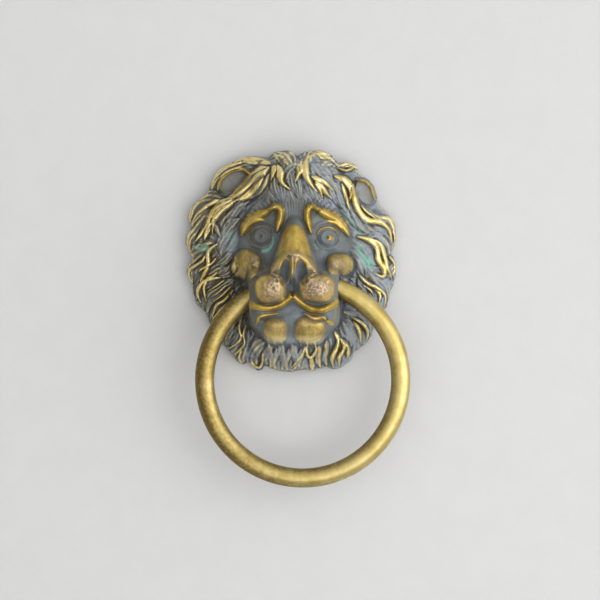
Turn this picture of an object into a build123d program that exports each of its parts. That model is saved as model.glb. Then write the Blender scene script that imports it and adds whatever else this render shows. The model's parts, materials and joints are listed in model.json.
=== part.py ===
"""Lion's-head door knocker: a hollow cast mask, a round bar ring through its mouth, and the door fixings.

Frame, in millimetres: the door's outer face is the plane Y = 0 and the mask looks along -Y, with +Z up.
The origin is on that plane, midway between the two fixing studs. The studs pass through the door along +Y.
"""

from build123d import *

import math
import os

# ---- driving dimensions -----------------------------------------------------------------------------
MANE_HALF_WIDTH = 50.0      # the dome under the locks, along X
MANE_HALF_HEIGHT = 52.5     # the same, along Z
MANE_RISE = 15.0            # height of that dome above the door
FACE_HALF_WIDTH = 34.0
FACE_HALF_HEIGHT = 42.0
FACE_RISE = 32.0

RIM_LOCKS = 14              # large locks around the outline
RIM_LOCK_RADIUS = 42.3      # circle through their centres
RIM_LOCK_SIZE = (16.0, 8.0, 9.0)        # half sizes: along the lock, above the door, across
CROWN_LOCKS = 9             # smaller locks between the rim and the face
CROWN_LOCK_RADIUS = 35.0
CROWN_LOCK_SIZE = (12.5, 6.5, 6.5)
RIM_LOCK_DEPTH = 3.5        # how far the rim locks' centres stand from the door
CROWN_LOCK_DEPTH = 13.5
RIM_START_DEG = 10.0        # angle of each row's first lock, round from +X towards +Z
CROWN_START_DEG = 90.0
CROWN_LOWEST_Z = -4.0       # the smaller locks stop at the cheeks, where the ring swings past
LOCK_SWIRL_DEG = 32.0       # how far each lock turns away from the radial direction

MUZZLE_WIDTH = 51.0         # at the door plane; the sides draw in towards the front
MUZZLE_HEIGHT = 30.0
MUZZLE_FRONT = 48.0         # distance of its front from the door
MUZZLE_CENTRE_Z = -17.5
MUZZLE_CORNER = 9.0
MUZZLE_DRAFT_DEG = 2.5
CHIN_HALF_SIZES = (19.0, 41.0, 13.0)    # across, from the door, up
CHIN_CENTRE_Z = -33.0
BEARD_HALF_SIZES = (30.0, 20.0, 20.0)
BEARD_CENTRE_Z = -36.0
FORELOCK_HALF_SIZES = (24.0, 25.0, 16.0)
FORELOCK_CENTRE_Z = 37.0

# The face's features. A place is (from the middle line, from the door, up); both sides are alike.
EAR_PLACE = (33.0, 18.0, 38.0)
EAR_RADIUS = 8.6
EAR_DISH_RADIUS = 8.0       # of the ball that the dish is cut with
NOSE_TOP = (0.0, 31.0, 20.0)
NOSE_TOP_RADIUS = 5.0
NOSE_TIP = (0.0, 48.0, -6.0)
NOSE_TIP_RADIUS = 6.5
NOSTRIL_PLACE = (7.0, 46.5, -9.0)
NOSTRIL_RADIUS = 4.5
BROW_PLACE = (18.0, 30.0, 21.5)
BROW_HALF_SIZES = (12.0, 4.0, 3.4)
BROW_FALL_DEG = 34.0        # how steeply each brow falls away from the nose
EYE_PLACE = (17.5, 27.0, 12.5)
EYE_RADIUS = 5.0
LID_PLACE = (17.5, 25.5, 12.3)
LID_HALF_SIZES = (6.9, 4.7, 6.1)    # the lids stand round the ball as one low swelling
CHEEK_PLACE = (24.0, 24.0, 0.5)
CHEEK_HALF_SIZES = (7.8, 8.0, 7.5)
WHISKER_PAD_PLACE = (11.5, 47.0, -15.0)
WHISKER_PAD_HALF_SIZES = (10.5, 7.0, 8.0)
CHIN_BALL_PLACE = (7.8, 39.0, -36.0)
CHIN_BALL_HALF_SIZES = (7.5, 6.5, 6.5)
LIP_PLACE = (11.5, 46.5, -24.0)
LIP_HALF_SIZES = (12.0, 3.0, 1.8)
LIP_FALL_DEG = 9.0

BAR_DIAMETER = 10.0         # the ring's round bar
RING_MEAN_RADIUS = 51.0
HINGE_X = 0.0               # middle of the line about which the ring swings
HINGE_Z = -18.0
HINGE_DEPTH = 24.0          # that line's distance from the door
HINGE_TILT_DEG = 6.0        # the mouth holes are bored with the right one higher
HINGE_TO_RING_CENTRE = 44.0
RING_CLEARANCE = 0.8        # all round the bar inside the mouth
SEAM_FROM_BOTTOM_DEG = 15.5     # where the bar's two ends meet, round from the ring's lowest point
SEAM_GAP = 0.15             # a hairline
DOWEL_DIAMETER = 4.0        # pin that closes the ring across its seam
DOWEL_LENGTH = 16.0
DOWEL_CLEARANCE = 0.02
DOWEL_CHAMFER = 0.4
DOWEL_BORE_SPARE = 0.5      # the bore is this much longer than the dowel

STUD_SPACING = 76.0         # along Z, centred on the origin
STUD_DIAMETER = 6.0         # plain shank through the door
THREAD_DIAMETER = 5.5       # thread shown as a plain cylinder between its crest and its root
THREAD_CLEARANCE = 0.05
BOSS_DIAMETER = 13.0
BOSS_FACE = 1.0             # the boss stops this far short of the door
BOSS_ROOTS = {"upper": 22.0, "lower": 30.0}     # how far in each boss runs before it joins the casting
STUD_IN_BOSS = 15.0
TAPPED_SPARE = 1.0          # the tapped hole is this much deeper than the stud goes
SHANK_END = 42.0
STUD_END = 54.0
DOOR_THICKNESS = 44.0
WASHER_DIAMETER = 14.0
WASHER_HOLE = 6.4
WASHER_THICKNESS = 1.6
NUT_ACROSS_FLATS = 10.0
NUT_HEIGHT = 5.0
NUT_CORNER_CUT = 0.22       # how much the hexagon's corners are turned off
NUT_DOME_RADIUS = 4.6
NUT_NECK = 2.0              # straight part between the hexagon and the dome
NUT_BORE_DEPTH = 9.4

WALL = 4.0                  # least metal between the hollow and the outside
HOLLOW_RIM = 9.0            # width of the flat rim that lies on the door
DISH_WALL = 6.0             # metal over the shallow part of the hollow, under the mane
FACE_WALL = 5.0

# ---- worked out from those --------------------------------------------------------------------------
BAR_RADIUS = BAR_DIAMETER / 2
HALF_CHORD = math.sqrt(RING_MEAN_RADIUS**2 - HINGE_TO_RING_CENTRE**2)
STUD_HEIGHTS = {"upper": STUD_SPACING / 2, "lower": -STUD_SPACING / 2}
HINGE = Location((HINGE_X, -HINGE_DEPTH, HINGE_Z), (0, -HINGE_TILT_DEG, 0))
TAPPED_RADIUS = THREAD_DIAMETER / 2 + THREAD_CLEARANCE
MUZZLE_PLANE = Plane(origin=(0, 0, MUZZLE_CENTRE_Z), x_dir=(1, 0, 0), z_dir=(0, -1, 0))


def ellipsoid(half_sizes, centre, turn_deg=0.0):
    """A ball stretched to three half sizes, turned about the Y axis and put in place."""
    ball = scale(Sphere(1.0), by=half_sizes)
    return Location(centre, (0, -turn_deg, 0)) * ball


def on_side(side, place):
    """A feature's place as a point of the frame, on the left for side -1 and on the right for side 1."""
    across, out, up = place
    return (side * across, -out, up)


def both_sides(make):
    """The pieces that make(side) gives on the left and on the right."""
    return [make(-1), make(1)]


def along_y(radius, y_start, y_end, x=0.0, z=0.0):
    """A cylinder along Y from y_start to y_end."""
    length = y_end - y_start
    return Location((x, (y_start + y_end) / 2, z), (90, 0, 0)) * Cylinder(radius, length)


# ---- the cast mask ----------------------------------------------------------------------------------
def lock_row(count, radius, size, depth, start_deg):
    """A row of mane locks round the face, each turned by the same swirl."""
    locks = []
    for i in range(count):
        angle = start_deg + 360.0 * i / count
        a = math.radians(angle)
        x = radius * math.cos(a)
        z = radius * math.sin(a) * MANE_HALF_HEIGHT / MANE_HALF_WIDTH
        side = 1 if x > 0 else -1
        locks.append(ellipsoid(size, (x, -depth, z), angle - side * LOCK_SWIRL_DEG))
    return locks


def mane():
    dome = ellipsoid((MANE_HALF_WIDTH, MANE_RISE, MANE_HALF_HEIGHT), (0, 0, 0))
    rim = lock_row(RIM_LOCKS, RIM_LOCK_RADIUS, RIM_LOCK_SIZE, RIM_LOCK_DEPTH, RIM_START_DEG)
    row = lock_row(CROWN_LOCKS, CROWN_LOCK_RADIUS, CROWN_LOCK_SIZE, CROWN_LOCK_DEPTH, CROWN_START_DEG)
    crown = [lock for lock in row if lock.center().Z > CROWN_LOWEST_Z]
    return [dome, *rim, *crown]


def ear(side):
    """A cupped ear: a round stub with a dished front."""
    x, front, z = on_side(side, EAR_PLACE)
    stub = along_y(EAR_RADIUS, front, 0.0, x=x, z=z)
    return stub - Pos(x, front - EAR_DISH_RADIUS / 2, z) * Sphere(EAR_DISH_RADIUS)


def muzzle():
    outline = MUZZLE_PLANE * RectangleRounded(MUZZLE_WIDTH, MUZZLE_HEIGHT, MUZZLE_CORNER)
    return extrude(outline, MUZZLE_FRONT, taper=MUZZLE_DRAFT_DEG)


def nose():
    """A tapered bridge between two balls, with a smaller ball over each nostril."""
    top = on_side(1, NOSE_TOP)
    tip = on_side(1, NOSE_TIP)
    down_the_nose = Vector(*tip) - Vector(*top)
    upper = Plane(origin=top, z_dir=down_the_nose) * Circle(NOSE_TOP_RADIUS)
    lower = Plane(origin=tip, z_dir=down_the_nose) * Circle(NOSE_TIP_RADIUS)
    bridge = loft([upper, lower])
    ends = [Pos(*top) * Sphere(NOSE_TOP_RADIUS), Pos(*tip) * Sphere(NOSE_TIP_RADIUS)]
    nostrils = both_sides(lambda side: Pos(*on_side(side, NOSTRIL_PLACE)) * Sphere(NOSTRIL_RADIUS))
    return [bridge, *ends, *nostrils]


def brow(side):
    return ellipsoid(BROW_HALF_SIZES, on_side(side, BROW_PLACE), -side * BROW_FALL_DEG)


def eye(side):
    """A ball standing out of the swelling of its lids."""
    ball = Pos(*on_side(side, EYE_PLACE)) * Sphere(EYE_RADIUS)
    return [ball, ellipsoid(LID_HALF_SIZES, on_side(side, LID_PLACE))]


def lip(side):
    """Half of the upper lip, dipping from the middle towards the corner of the mouth."""
    return ellipsoid(LIP_HALF_SIZES, on_side(side, LIP_PLACE), -side * LIP_FALL_DEG)


def features():
    """The parts of the face that stand on the muzzle and the face's dome."""
    found = [muzzle(), *nose()]
    for side in (-1, 1):
        found.append(brow(side))
        found.append(lip(side))
        found += eye(side)
        found.append(ellipsoid(CHEEK_HALF_SIZES, on_side(side, CHEEK_PLACE)))
        found.append(ellipsoid(WHISKER_PAD_HALF_SIZES, on_side(side, WHISKER_PAD_PLACE)))
        found.append(ellipsoid(CHIN_BALL_HALF_SIZES, on_side(side, CHIN_BALL_PLACE)))
    found.append(ellipsoid(CHIN_HALF_SIZES, (0, 0, CHIN_CENTRE_Z)))
    found.append(ellipsoid(BEARD_HALF_SIZES, (0, 0, BEARD_CENTRE_Z)))
    return found


def swing_room():
    """The space the bar turns through inside the mouth, as a solid of revolution about the hinge line."""
    reach = HALF_CHORD + BAR_RADIUS
    steps = 12
    upper = []
    for i in range(-steps, steps + 1):
        x = reach * i / steps
        rise = abs(math.sqrt(RING_MEAN_RADIUS**2 - x**2) - HINGE_TO_RING_CENTRE)
        slope = math.asin(x / RING_MEAN_RADIUS)
        upper.append((x, rise + BAR_RADIUS / math.cos(slope) + RING_CLEARANCE))
    outline = Polyline((-reach, 0), *upper, (reach, 0), close=True)
    section = make_face(Plane.XZ * outline)
    return HINGE * revolve(section, Axis.X, 360)


def shrunk(half_sizes, by):
    return tuple(size - by for size in half_sizes)


def hollow():
    """The casting's open back."""
    face_sizes = (FACE_HALF_WIDTH, FACE_RISE, FACE_HALF_HEIGHT)
    face = ellipsoid(shrunk(face_sizes, FACE_WALL), (0, 0, 0))
    chin = ellipsoid(shrunk(CHIN_HALF_SIZES, FACE_WALL), (0, 0, CHIN_CENTRE_Z))
    rim_x = MANE_HALF_WIDTH - HOLLOW_RIM
    rim_z = MANE_HALF_HEIGHT - HOLLOW_RIM
    dish = ellipsoid((rim_x, MANE_RISE - DISH_WALL, rim_z), (0, 0, 0))
    width = MUZZLE_WIDTH - 4 * WALL
    core_outline = RectangleRounded(width, MUZZLE_HEIGHT - 2 * WALL, MUZZLE_CORNER - WALL)
    core = extrude(MUZZLE_PLANE * core_outline, MUZZLE_FRONT - 2 * WALL, taper=2 * MUZZLE_DRAFT_DEG)
    return [face, dish, core, chin]


def behind_the_door_plane():
    """A block that trims everything off at the door's face."""
    size = 4 * MANE_HALF_WIDTH
    return Pos(0, size / 2, 0) * Box(size, size, size)


def lion_head():
    body = Part() + mane() + [ellipsoid((FACE_HALF_WIDTH, FACE_RISE, FACE_HALF_HEIGHT), (0, 0, 0))]
    body += [ellipsoid(FORELOCK_HALF_SIZES, (0, 0, FORELOCK_CENTRE_Z))]
    body += features()
    for side in (-1, 1):
        body += ear(side)
    body -= behind_the_door_plane()
    body -= hollow()
    for place, z in STUD_HEIGHTS.items():
        body += along_y(BOSS_DIAMETER / 2, -BOSS_ROOTS[place], -BOSS_FACE, z=z)
    body -= swing_room()
    for z in STUD_HEIGHTS.values():
        body -= along_y(TAPPED_RADIUS, -STUD_IN_BOSS - TAPPED_SPARE, 0, z=z)
    return body


# ---- the ring ---------------------------------------------------------------------------------------
def ring_frame():
    """The ring's own frame: its centre, local Z along its axis, local -Y towards its lowest point."""
    return HINGE * Location((0, 0, -HINGE_TO_RING_CENTRE), (90, 0, 0))


def ring_bar():
    """A round bar bent to a full circle, with its two ends meeting at the seam and bored for the dowel."""
    half_gap = math.degrees(SEAM_GAP / 2 / RING_MEAN_RADIUS)
    start = Plane.XZ * Pos(RING_MEAN_RADIUS, 0) * Circle(BAR_RADIUS)
    bar = revolve(start, Axis.Z, 360 - 2 * half_gap)
    bore = DOWEL_DIAMETER / 2 + DOWEL_CLEARANCE
    middle = Pos(RING_MEAN_RADIUS, 0, 0) * Rot(0, 0, -half_gap)
    bar -= middle * Rot(90, 0, 0) * Cylinder(bore, DOWEL_LENGTH + DOWEL_BORE_SPARE)
    return seam_place() * Rot(0, 0, half_gap) * bar


def seam_place():
    """Turns the ring so that its seam lies where it is wanted, round from the lowest point."""
    return ring_frame() * Rot(0, 0, -90 + SEAM_FROM_BOTTOM_DEG)


def ring_joint_dowel():
    pin = Cylinder(DOWEL_DIAMETER / 2, DOWEL_LENGTH)
    pin = chamfer(pin.edges(), DOWEL_CHAMFER)
    return seam_place() * Pos(RING_MEAN_RADIUS, 0, 0) * Rot(90, 0, 0) * pin


# ---- the door fixings -------------------------------------------------------------------------------
def stud(z):
    """A double-ended stud: thread in the boss, plain shank through the door, thread for the nut."""
    thread = THREAD_DIAMETER / 2
    inner = along_y(thread, -STUD_IN_BOSS, -BOSS_FACE, z=z)
    shank = along_y(STUD_DIAMETER / 2, -BOSS_FACE, SHANK_END, z=z)
    outer = along_y(thread, SHANK_END, STUD_END, z=z)
    return inner + shank + outer


def washer(z):
    end = DOOR_THICKNESS + WASHER_THICKNESS
    disc = along_y(WASHER_DIAMETER / 2, DOOR_THICKNESS, end, z=z)
    return disc - along_y(WASHER_HOLE / 2, DOOR_THICKNESS, end, z=z)


def cap_nut(z):
    """A hexagon nut with a closed dome over the stud's end."""
    base = DOOR_THICKNESS + WASHER_THICKNESS
    plane = Plane(origin=(0, base, z), x_dir=(1, 0, 0), z_dir=(0, 1, 0))
    flats = RegularPolygon(NUT_ACROSS_FLATS / 2, 6, major_radius=False)
    hexagon = extrude(plane * flats, NUT_HEIGHT)
    turned_radius = NUT_ACROSS_FLATS / math.sqrt(3) - NUT_CORNER_CUT
    turned = along_y(turned_radius, base, base + NUT_HEIGHT, z=z)
    neck_end = base + NUT_HEIGHT + NUT_NECK
    neck = along_y(NUT_DOME_RADIUS, base, neck_end, z=z)
    dome = Pos(0, neck_end, z) * Sphere(NUT_DOME_RADIUS)
    bore = along_y(TAPPED_RADIUS, base, base + NUT_BORE_DEPTH, z=z)
    return (hexagon & turned) + neck + dome - bore


def main():
    os.makedirs("parts", exist_ok=True)
    parts = {
        "lion_head": lion_head(),
        "ring_bar": ring_bar(),
        "ring_joint_dowel": ring_joint_dowel(),
    }
    for place, z in STUD_HEIGHTS.items():
        parts[place + "_stud"] = stud(z)
        parts[place + "_washer"] = washer(z)
        parts[place + "_cap_nut"] = cap_nut(z)
    for name, shape in parts.items():
        export_step(shape, f"parts/{name}.step")


main()
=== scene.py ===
"""Looks for the lion's-head door knocker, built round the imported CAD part.

The cast mask is sculpted as a relief: a height above the door for every point of the door plane, with the
mane drawn lock by lock. The relief is then hollowed, bored and turned into one closed mesh.
The sculpt works in millimetres: x to the right, z up, depth measured out from the door (depth = -Y).
"""

import json
import math
from collections import namedtuple

import bpy
import numpy as np
import openvdb
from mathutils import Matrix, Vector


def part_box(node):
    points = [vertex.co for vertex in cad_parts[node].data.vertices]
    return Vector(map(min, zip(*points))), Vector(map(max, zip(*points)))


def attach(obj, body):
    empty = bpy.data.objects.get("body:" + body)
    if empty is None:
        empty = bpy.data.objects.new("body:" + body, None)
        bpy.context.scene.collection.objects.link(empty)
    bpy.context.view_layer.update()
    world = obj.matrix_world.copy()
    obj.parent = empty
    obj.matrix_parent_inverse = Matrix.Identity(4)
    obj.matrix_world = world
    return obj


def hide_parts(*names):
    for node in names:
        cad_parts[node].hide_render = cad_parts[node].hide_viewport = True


MM = 0.001
SEED = 7
NEVER_ZERO = 1e-9

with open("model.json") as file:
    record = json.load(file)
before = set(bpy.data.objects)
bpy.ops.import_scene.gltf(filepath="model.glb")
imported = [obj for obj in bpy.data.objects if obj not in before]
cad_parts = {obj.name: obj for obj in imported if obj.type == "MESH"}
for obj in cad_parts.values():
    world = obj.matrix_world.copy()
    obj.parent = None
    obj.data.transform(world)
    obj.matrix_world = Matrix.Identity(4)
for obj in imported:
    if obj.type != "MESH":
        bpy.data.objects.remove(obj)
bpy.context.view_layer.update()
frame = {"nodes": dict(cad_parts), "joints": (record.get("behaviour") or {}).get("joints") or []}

# ---- the relief's grid ------------------------------------------------------------------------------
CELL = 0.25          # relief cell
VOXEL = 0.4          # mesh voxel
REACH_X = 62.0
REACH_Z = 64.0
AXIS_X = np.arange(-REACH_X, REACH_X + CELL / 2, CELL)
AXIS_Z = np.arange(-REACH_Z, REACH_Z + CELL / 2, CELL)
X, Z = np.meshgrid(AXIS_X, AXIS_Z, indexing="ij")
VOXEL_SPANS = ((-60, 60), (-1.2, 60), (-61, 62))    # x, depth and z of the mesh's own grid

# ---- sizes taken from the frame ---------------------------------------------------------------------
SWING = frame["joints"][0]
HINGE_X = SWING["pos_m"][0] / MM            # middle of the line the ring swings about
HINGE_DEPTH = -SWING["pos_m"][1] / MM
HINGE_Z = SWING["pos_m"][2] / MM
HINGE_TILT = math.atan(SWING["axis"][2] / SWING["axis"][0])
RING_LOW, RING_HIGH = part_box("ring_bar")
BAR_RADIUS = (RING_HIGH[1] - RING_LOW[1]) / 2 / MM
RING_RADIUS = (RING_HIGH[0] - RING_LOW[0]) / 2 / MM - BAR_RADIUS
RING_DROP = math.hypot(                     # from the hinge line to the ring's centre
    (RING_HIGH[0] + RING_LOW[0]) / 2 / MM - HINGE_X,
    (RING_HIGH[2] + RING_LOW[2]) / 2 / MM - HINGE_Z,
)
STUD_BOXES = [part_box(name) for name in ("upper_stud", "lower_stud")]
STUD_HEIGHTS = [(low[2] + high[2]) / 2 / MM for low, high in STUD_BOXES]
BORE_DEPTH = 1.0 - STUD_BOXES[0][0][1] / MM     # the hole runs on past the stud's end
# Sizes the cast mask adds to those.
RING_ROOM = 0.8         # clearance round the bar inside the mouth
MOUTH_HALF_WIDTH = 34.0     # how far along the hinge line that room is cut
BOSS_RADIUS = 6.5
BOSS_GAP = 1.0          # the boss stops short of the door
BOSS_COVER = 1.5        # metal left over the boss's front end
BORE_RADIUS = 2.8
WALL = 3.6
BACK_RIM = 7.0          # width of the solid rim that rests on the door


# ---- small tools ------------------------------------------------------------------------------------
def smooth_step(low, high, value):
    """0 below low, 1 above high, and a smooth rise between them."""
    t = np.clip((value - low) / (high - low), 0.0, 1.0)
    return t * t * (3.0 - 2.0 * t)


def smooth_max(a, b, soft):
    return 0.5 * (a + b + np.sqrt((a - b) ** 2 + soft * soft))


def blur(field, sigma_mm):
    """Gaussian blur of a relief-sized field."""
    sigma = sigma_mm / CELL
    reach = max(1, int(3 * sigma))
    offsets = np.arange(-reach, reach + 1)
    weights = np.exp(-0.5 * (offsets / sigma) ** 2)
    weights /= weights.sum()
    for axis in (0, 1):
        pad = [(0, 0), (0, 0)]
        pad[axis] = (reach, reach)
        wide = np.pad(field, pad, mode="edge")
        total = np.zeros_like(field)
        length = field.shape[axis]
        for k, weight in enumerate(weights):
            window = [slice(None), slice(None)]
            window[axis] = slice(k, k + length)
            total += weight * wide[tuple(window)]
        field = total
    return field


def steepness(field):
    """How fast a relief-sized field rises, in mm per mm."""
    return np.hypot(*np.gradient(field, CELL))


def on_curve(a, b, c, d, t):
    """The point a fraction t of the way from b to c, on a smooth curve through all four."""
    return 0.5 * (2 * b + (c - a) * t + (2 * a - 5 * b + 4 * c - d) * t * t + (3 * b - a - 3 * c + d) * t**3)


def smooth_path(points, steps):
    """A smooth curve through the points."""
    p = np.array(points, float)
    p = np.vstack([2 * p[0] - p[1], p, 2 * p[-1] - p[-2]])
    out = []
    spans = len(p) - 3
    per_span = max(3, steps // spans)
    for i in range(spans):
        last = i == spans - 1
        for t in np.linspace(0.0, 1.0, per_span + (1 if last else 0), endpoint=last):
            out.append(on_curve(*p[i : i + 4], t))
    return np.array(out)


def closed_path(points, per_span):
    """A smooth closed curve through the points."""
    p = np.array(points, float)
    n = len(p)
    out = []
    for i in range(n):
        for t in np.linspace(0.0, 1.0, per_span, endpoint=False):
            out.append(on_curve(p[i - 1], p[i], p[(i + 1) % n], p[(i + 2) % n], t))
    return np.array(out)


def inside_distance(outline):
    """Distance to a closed outline for every cell, positive inside it."""
    nearest = np.full(X.shape, 1e9)
    inside = np.zeros(X.shape, bool)
    ends = np.roll(outline, -1, axis=0)
    for (ax, az), (bx, bz) in zip(outline, ends):
        ex, ez = bx - ax, bz - az
        wx, wz = X - ax, Z - az
        t = np.clip((wx * ex + wz * ez) / (ex * ex + ez * ez + 1e-12), 0, 1)
        nearest = np.minimum(nearest, (wx - t * ex) ** 2 + (wz - t * ez) ** 2)
        crosses = (az > Z) != (bz > Z)
        with np.errstate(divide="ignore", invalid="ignore"):
            inside ^= crosses & (X < ex * (Z - az) / (ez if ez else 1e-12) + ax)
    distance = np.sqrt(nearest)
    return np.where(inside, distance, -distance)


def in_own_frame(cx, cz, rx, rz, turn_deg):
    """Every cell's place as seen from a turned oval, in units of its half sizes."""
    a = math.radians(turn_deg)
    dx, dz = X - cx, Z - cz
    return (dx * math.cos(a) + dz * math.sin(a)) / rx, (-dx * math.sin(a) + dz * math.cos(a)) / rz


def oval(cx, cz, rx, rz, turn_deg=0.0):
    """Distance from an oval's centre in units of its own size: 0 at the centre, 1 on its edge."""
    u, v = in_own_frame(cx, cz, rx, rz, turn_deg)
    return np.sqrt(u * u + v * v)


def squarish(cx, cz, rx, rz, turn_deg=0.0):
    """Like oval, with the corners filled out a little."""
    corner = 2.6
    u, v = in_own_frame(cx, cz, rx, rz, turn_deg)
    return (np.abs(u) ** corner + np.abs(v) ** corner) ** (1 / corner)


def arc(cx, cz, rx, rz, angles_deg):
    """Points on an oval."""
    return [(cx + rx * math.cos(math.radians(a)), cz + rz * math.sin(math.radians(a))) for a in angles_deg]


def dome(r, power=2.0):
    """1 at the centre of an oval, falling to 0 at its edge like a ball."""
    return np.sqrt(np.clip(1.0 - np.clip(r, 0, 1) ** power, 0, 1))


# ---- what a stroke leaves on the relief -------------------------------------------------------------
class Relief:
    """The height over the door, and how worn and how bare of hair each point of the casting is."""

    def __init__(self):
        self.height = np.zeros(X.shape)
        # The gold also holds a painted highlight beside each pupil, laid in as worn metal.
        self.gold = np.zeros(X.shape)       # rubbed back to bright metal
        self.smooth = np.zeros(X.shape)     # skin, where no hair is cut
        self.flow = []                      # (x, z, direction) samples along the locks


def near_path(path, reach):
    """The cells near a path: window, position along it 0..1, and signed distance across it."""
    low = path[:, :2].min(0) - reach
    high = path[:, :2].max(0) + reach
    i0, i1 = np.searchsorted(AXIS_X, (low[0], high[0]))
    j0, j1 = np.searchsorted(AXIS_Z, (low[1], high[1]))
    window = (slice(i0, i1), slice(j0, j1))
    dx = X[window][..., None] - path[:, 0]
    dz = Z[window][..., None] - path[:, 1]
    square = dx * dx + dz * dz
    nearest = square.argmin(-1)
    tangent = np.gradient(path[:, :2], axis=0)
    tx, tz = tangent[nearest, 0], tangent[nearest, 1]
    pace = np.hypot(tx, tz) + NEVER_ZERO
    ax = np.take_along_axis(dx, nearest[..., None], -1)[..., 0]
    az = np.take_along_axis(dz, nearest[..., None], -1)[..., 0]
    onward = (tx * ax + tz * az) / pace
    sideways = (tx * az - tz * ax) / pace
    last = len(path) - 1
    beyond = ((nearest == 0) & (onward < 0)) | ((nearest == last) & (onward > 0))
    distance = np.where(beyond, np.hypot(ax, az), np.abs(sideways))
    t = np.clip((nearest + onward / pace) / last, 0, 1)
    return window, t, np.where(sideways < 0, -distance, distance)


# Half is half the lock's width and lift its height, in mm. Strands is how many are cut along it.
# Gold is how worn it is. Root and tip are the shares of its length over which it widens and narrows.
Lock = namedtuple("Lock", "points half lift strands gold root tip", defaults=(0.15, 0.5))
STROKE_STEPS = 60
FLOW_EVERY = 8          # path steps between two samples of the hair's direction
THINNEST = 0.25         # half width of a lock at its very ends
EDGE_GROOVE_DEPTH = 0.55
EDGE_GROOVE_WIDTH = 0.45
EDGE_GROOVE_PLACE = 0.25        # outside the lock's edge
DEEPEST_CUT = 0.75      # between two strands
CUT_PER_WIDTH = 0.28


def draw_lock(relief, base, lock):
    """Lays one lock of hair over the relief: a rounded body with strands cut along it, edged by a groove."""
    path = smooth_path(lock.points, STROKE_STEPS)
    window, t, across = near_path(path, lock.half + 1.5)
    width = lock.half * np.minimum(1.0, (t + 0.02) / lock.root) ** 0.7
    width = width * np.minimum(1.0, (1.02 - t) / lock.tip) ** 0.8
    width = np.maximum(width, THINNEST)
    s = across / width
    near = np.abs(s)
    body = np.clip(1.0 - near**2.4, 0, 1)
    scale = (width / lock.half) ** 0.5
    strand = 0.5 + 0.5 * np.cos(math.pi * (s * lock.strands + 0.7 * np.sin(5.0 * t + lock.half)))
    if lock.strands < 1:
        strand = np.ones_like(s)
    cut = min(DEEPEST_CUT, CUT_PER_WIDTH * lock.half)
    raised = base[window] + lock.lift * scale * body - cut * (1 - strand) * scale
    outside = (near - 1.0) * width
    groove = np.exp(-((outside - EDGE_GROOVE_PLACE) / EDGE_GROOVE_WIDTH) ** 2) * (outside > -0.3)
    height = relief.height[window] - EDGE_GROOVE_DEPTH * min(1.0, lock.lift) * groove
    relief.height[window] = np.where(near < 1.0, np.maximum(height, raised), height)
    wins = (near < 1.0) & (raised > height)
    crest = np.clip(1.45 - 0.9 * near**2, 0, 1) * (0.6 + 0.4 * strand) * np.clip(4.0 * t + 0.4, 0, 1)
    relief.gold[window] = np.where(wins, lock.gold * crest, relief.gold[window])
    direction = np.gradient(path[:, :2], axis=0)
    for k in range(0, len(path), FLOW_EVERY):
        relief.flow.append((path[k, 0], path[k, 1], math.atan2(direction[k, 1], direction[k, 0])))


def draw_locks(relief, base, rows):
    for row in rows:
        draw_lock(relief, base, Lock(*row))


def draw_ridge(relief, points, half, lift, gold, root=0.12, tip=0.12):
    """Adds a smooth rounded ridge, such as a lip or a brow, or cuts a groove where the lift is below 0."""
    path = smooth_path(points, STROKE_STEPS)
    window, t, across = near_path(path, half * 1.8)
    width = half * np.minimum(1.0, (t + 0.03) / root) ** 0.6 * np.minimum(1.0, (1.03 - t) / tip) ** 0.6
    near = np.abs(across) / np.maximum(width, 0.2)
    hump = np.exp(-1.6 * near**2.2)
    relief.height[window] += lift * hump
    mark = gold * np.clip(1.55 - 0.9 * near**1.8, 0, 1)
    relief.gold[window] = np.maximum(relief.gold[window], mark)


def draw_ridges(relief, rows):
    for row in rows:
        draw_ridge(relief, *row)


def draw_bump(relief, r, lift, gold, firm=0.9):
    """A rounded bump on an oval. Its edge is crisp where firm is 0.5, and gentle at 1 or more."""
    relief.height += lift * np.clip(1.0 - r**2, 0, 1) ** firm
    relief.gold = np.maximum(relief.gold, gold * np.clip(1.7 - 1.2 * r**2, 0, 1))


def draw_edge_groove(relief, r, at, depth):
    """A fine groove round an oval, at a given share of its size."""
    relief.height -= depth * np.exp(-(((r - at) / 0.16) ** 2))


def draw_hollow(relief, r, depth):
    """A soft-edged hollow on an oval."""
    relief.height -= depth * np.clip(1.0 - r**2, 0, 1)
    relief.gold *= np.clip((r - 0.75) * 4, 0, 1)


def draw_pit(relief, r, depth):
    relief.height -= depth * dome(r)
    relief.gold *= 1.0 - np.clip(1.4 - r, 0, 1)


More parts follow.
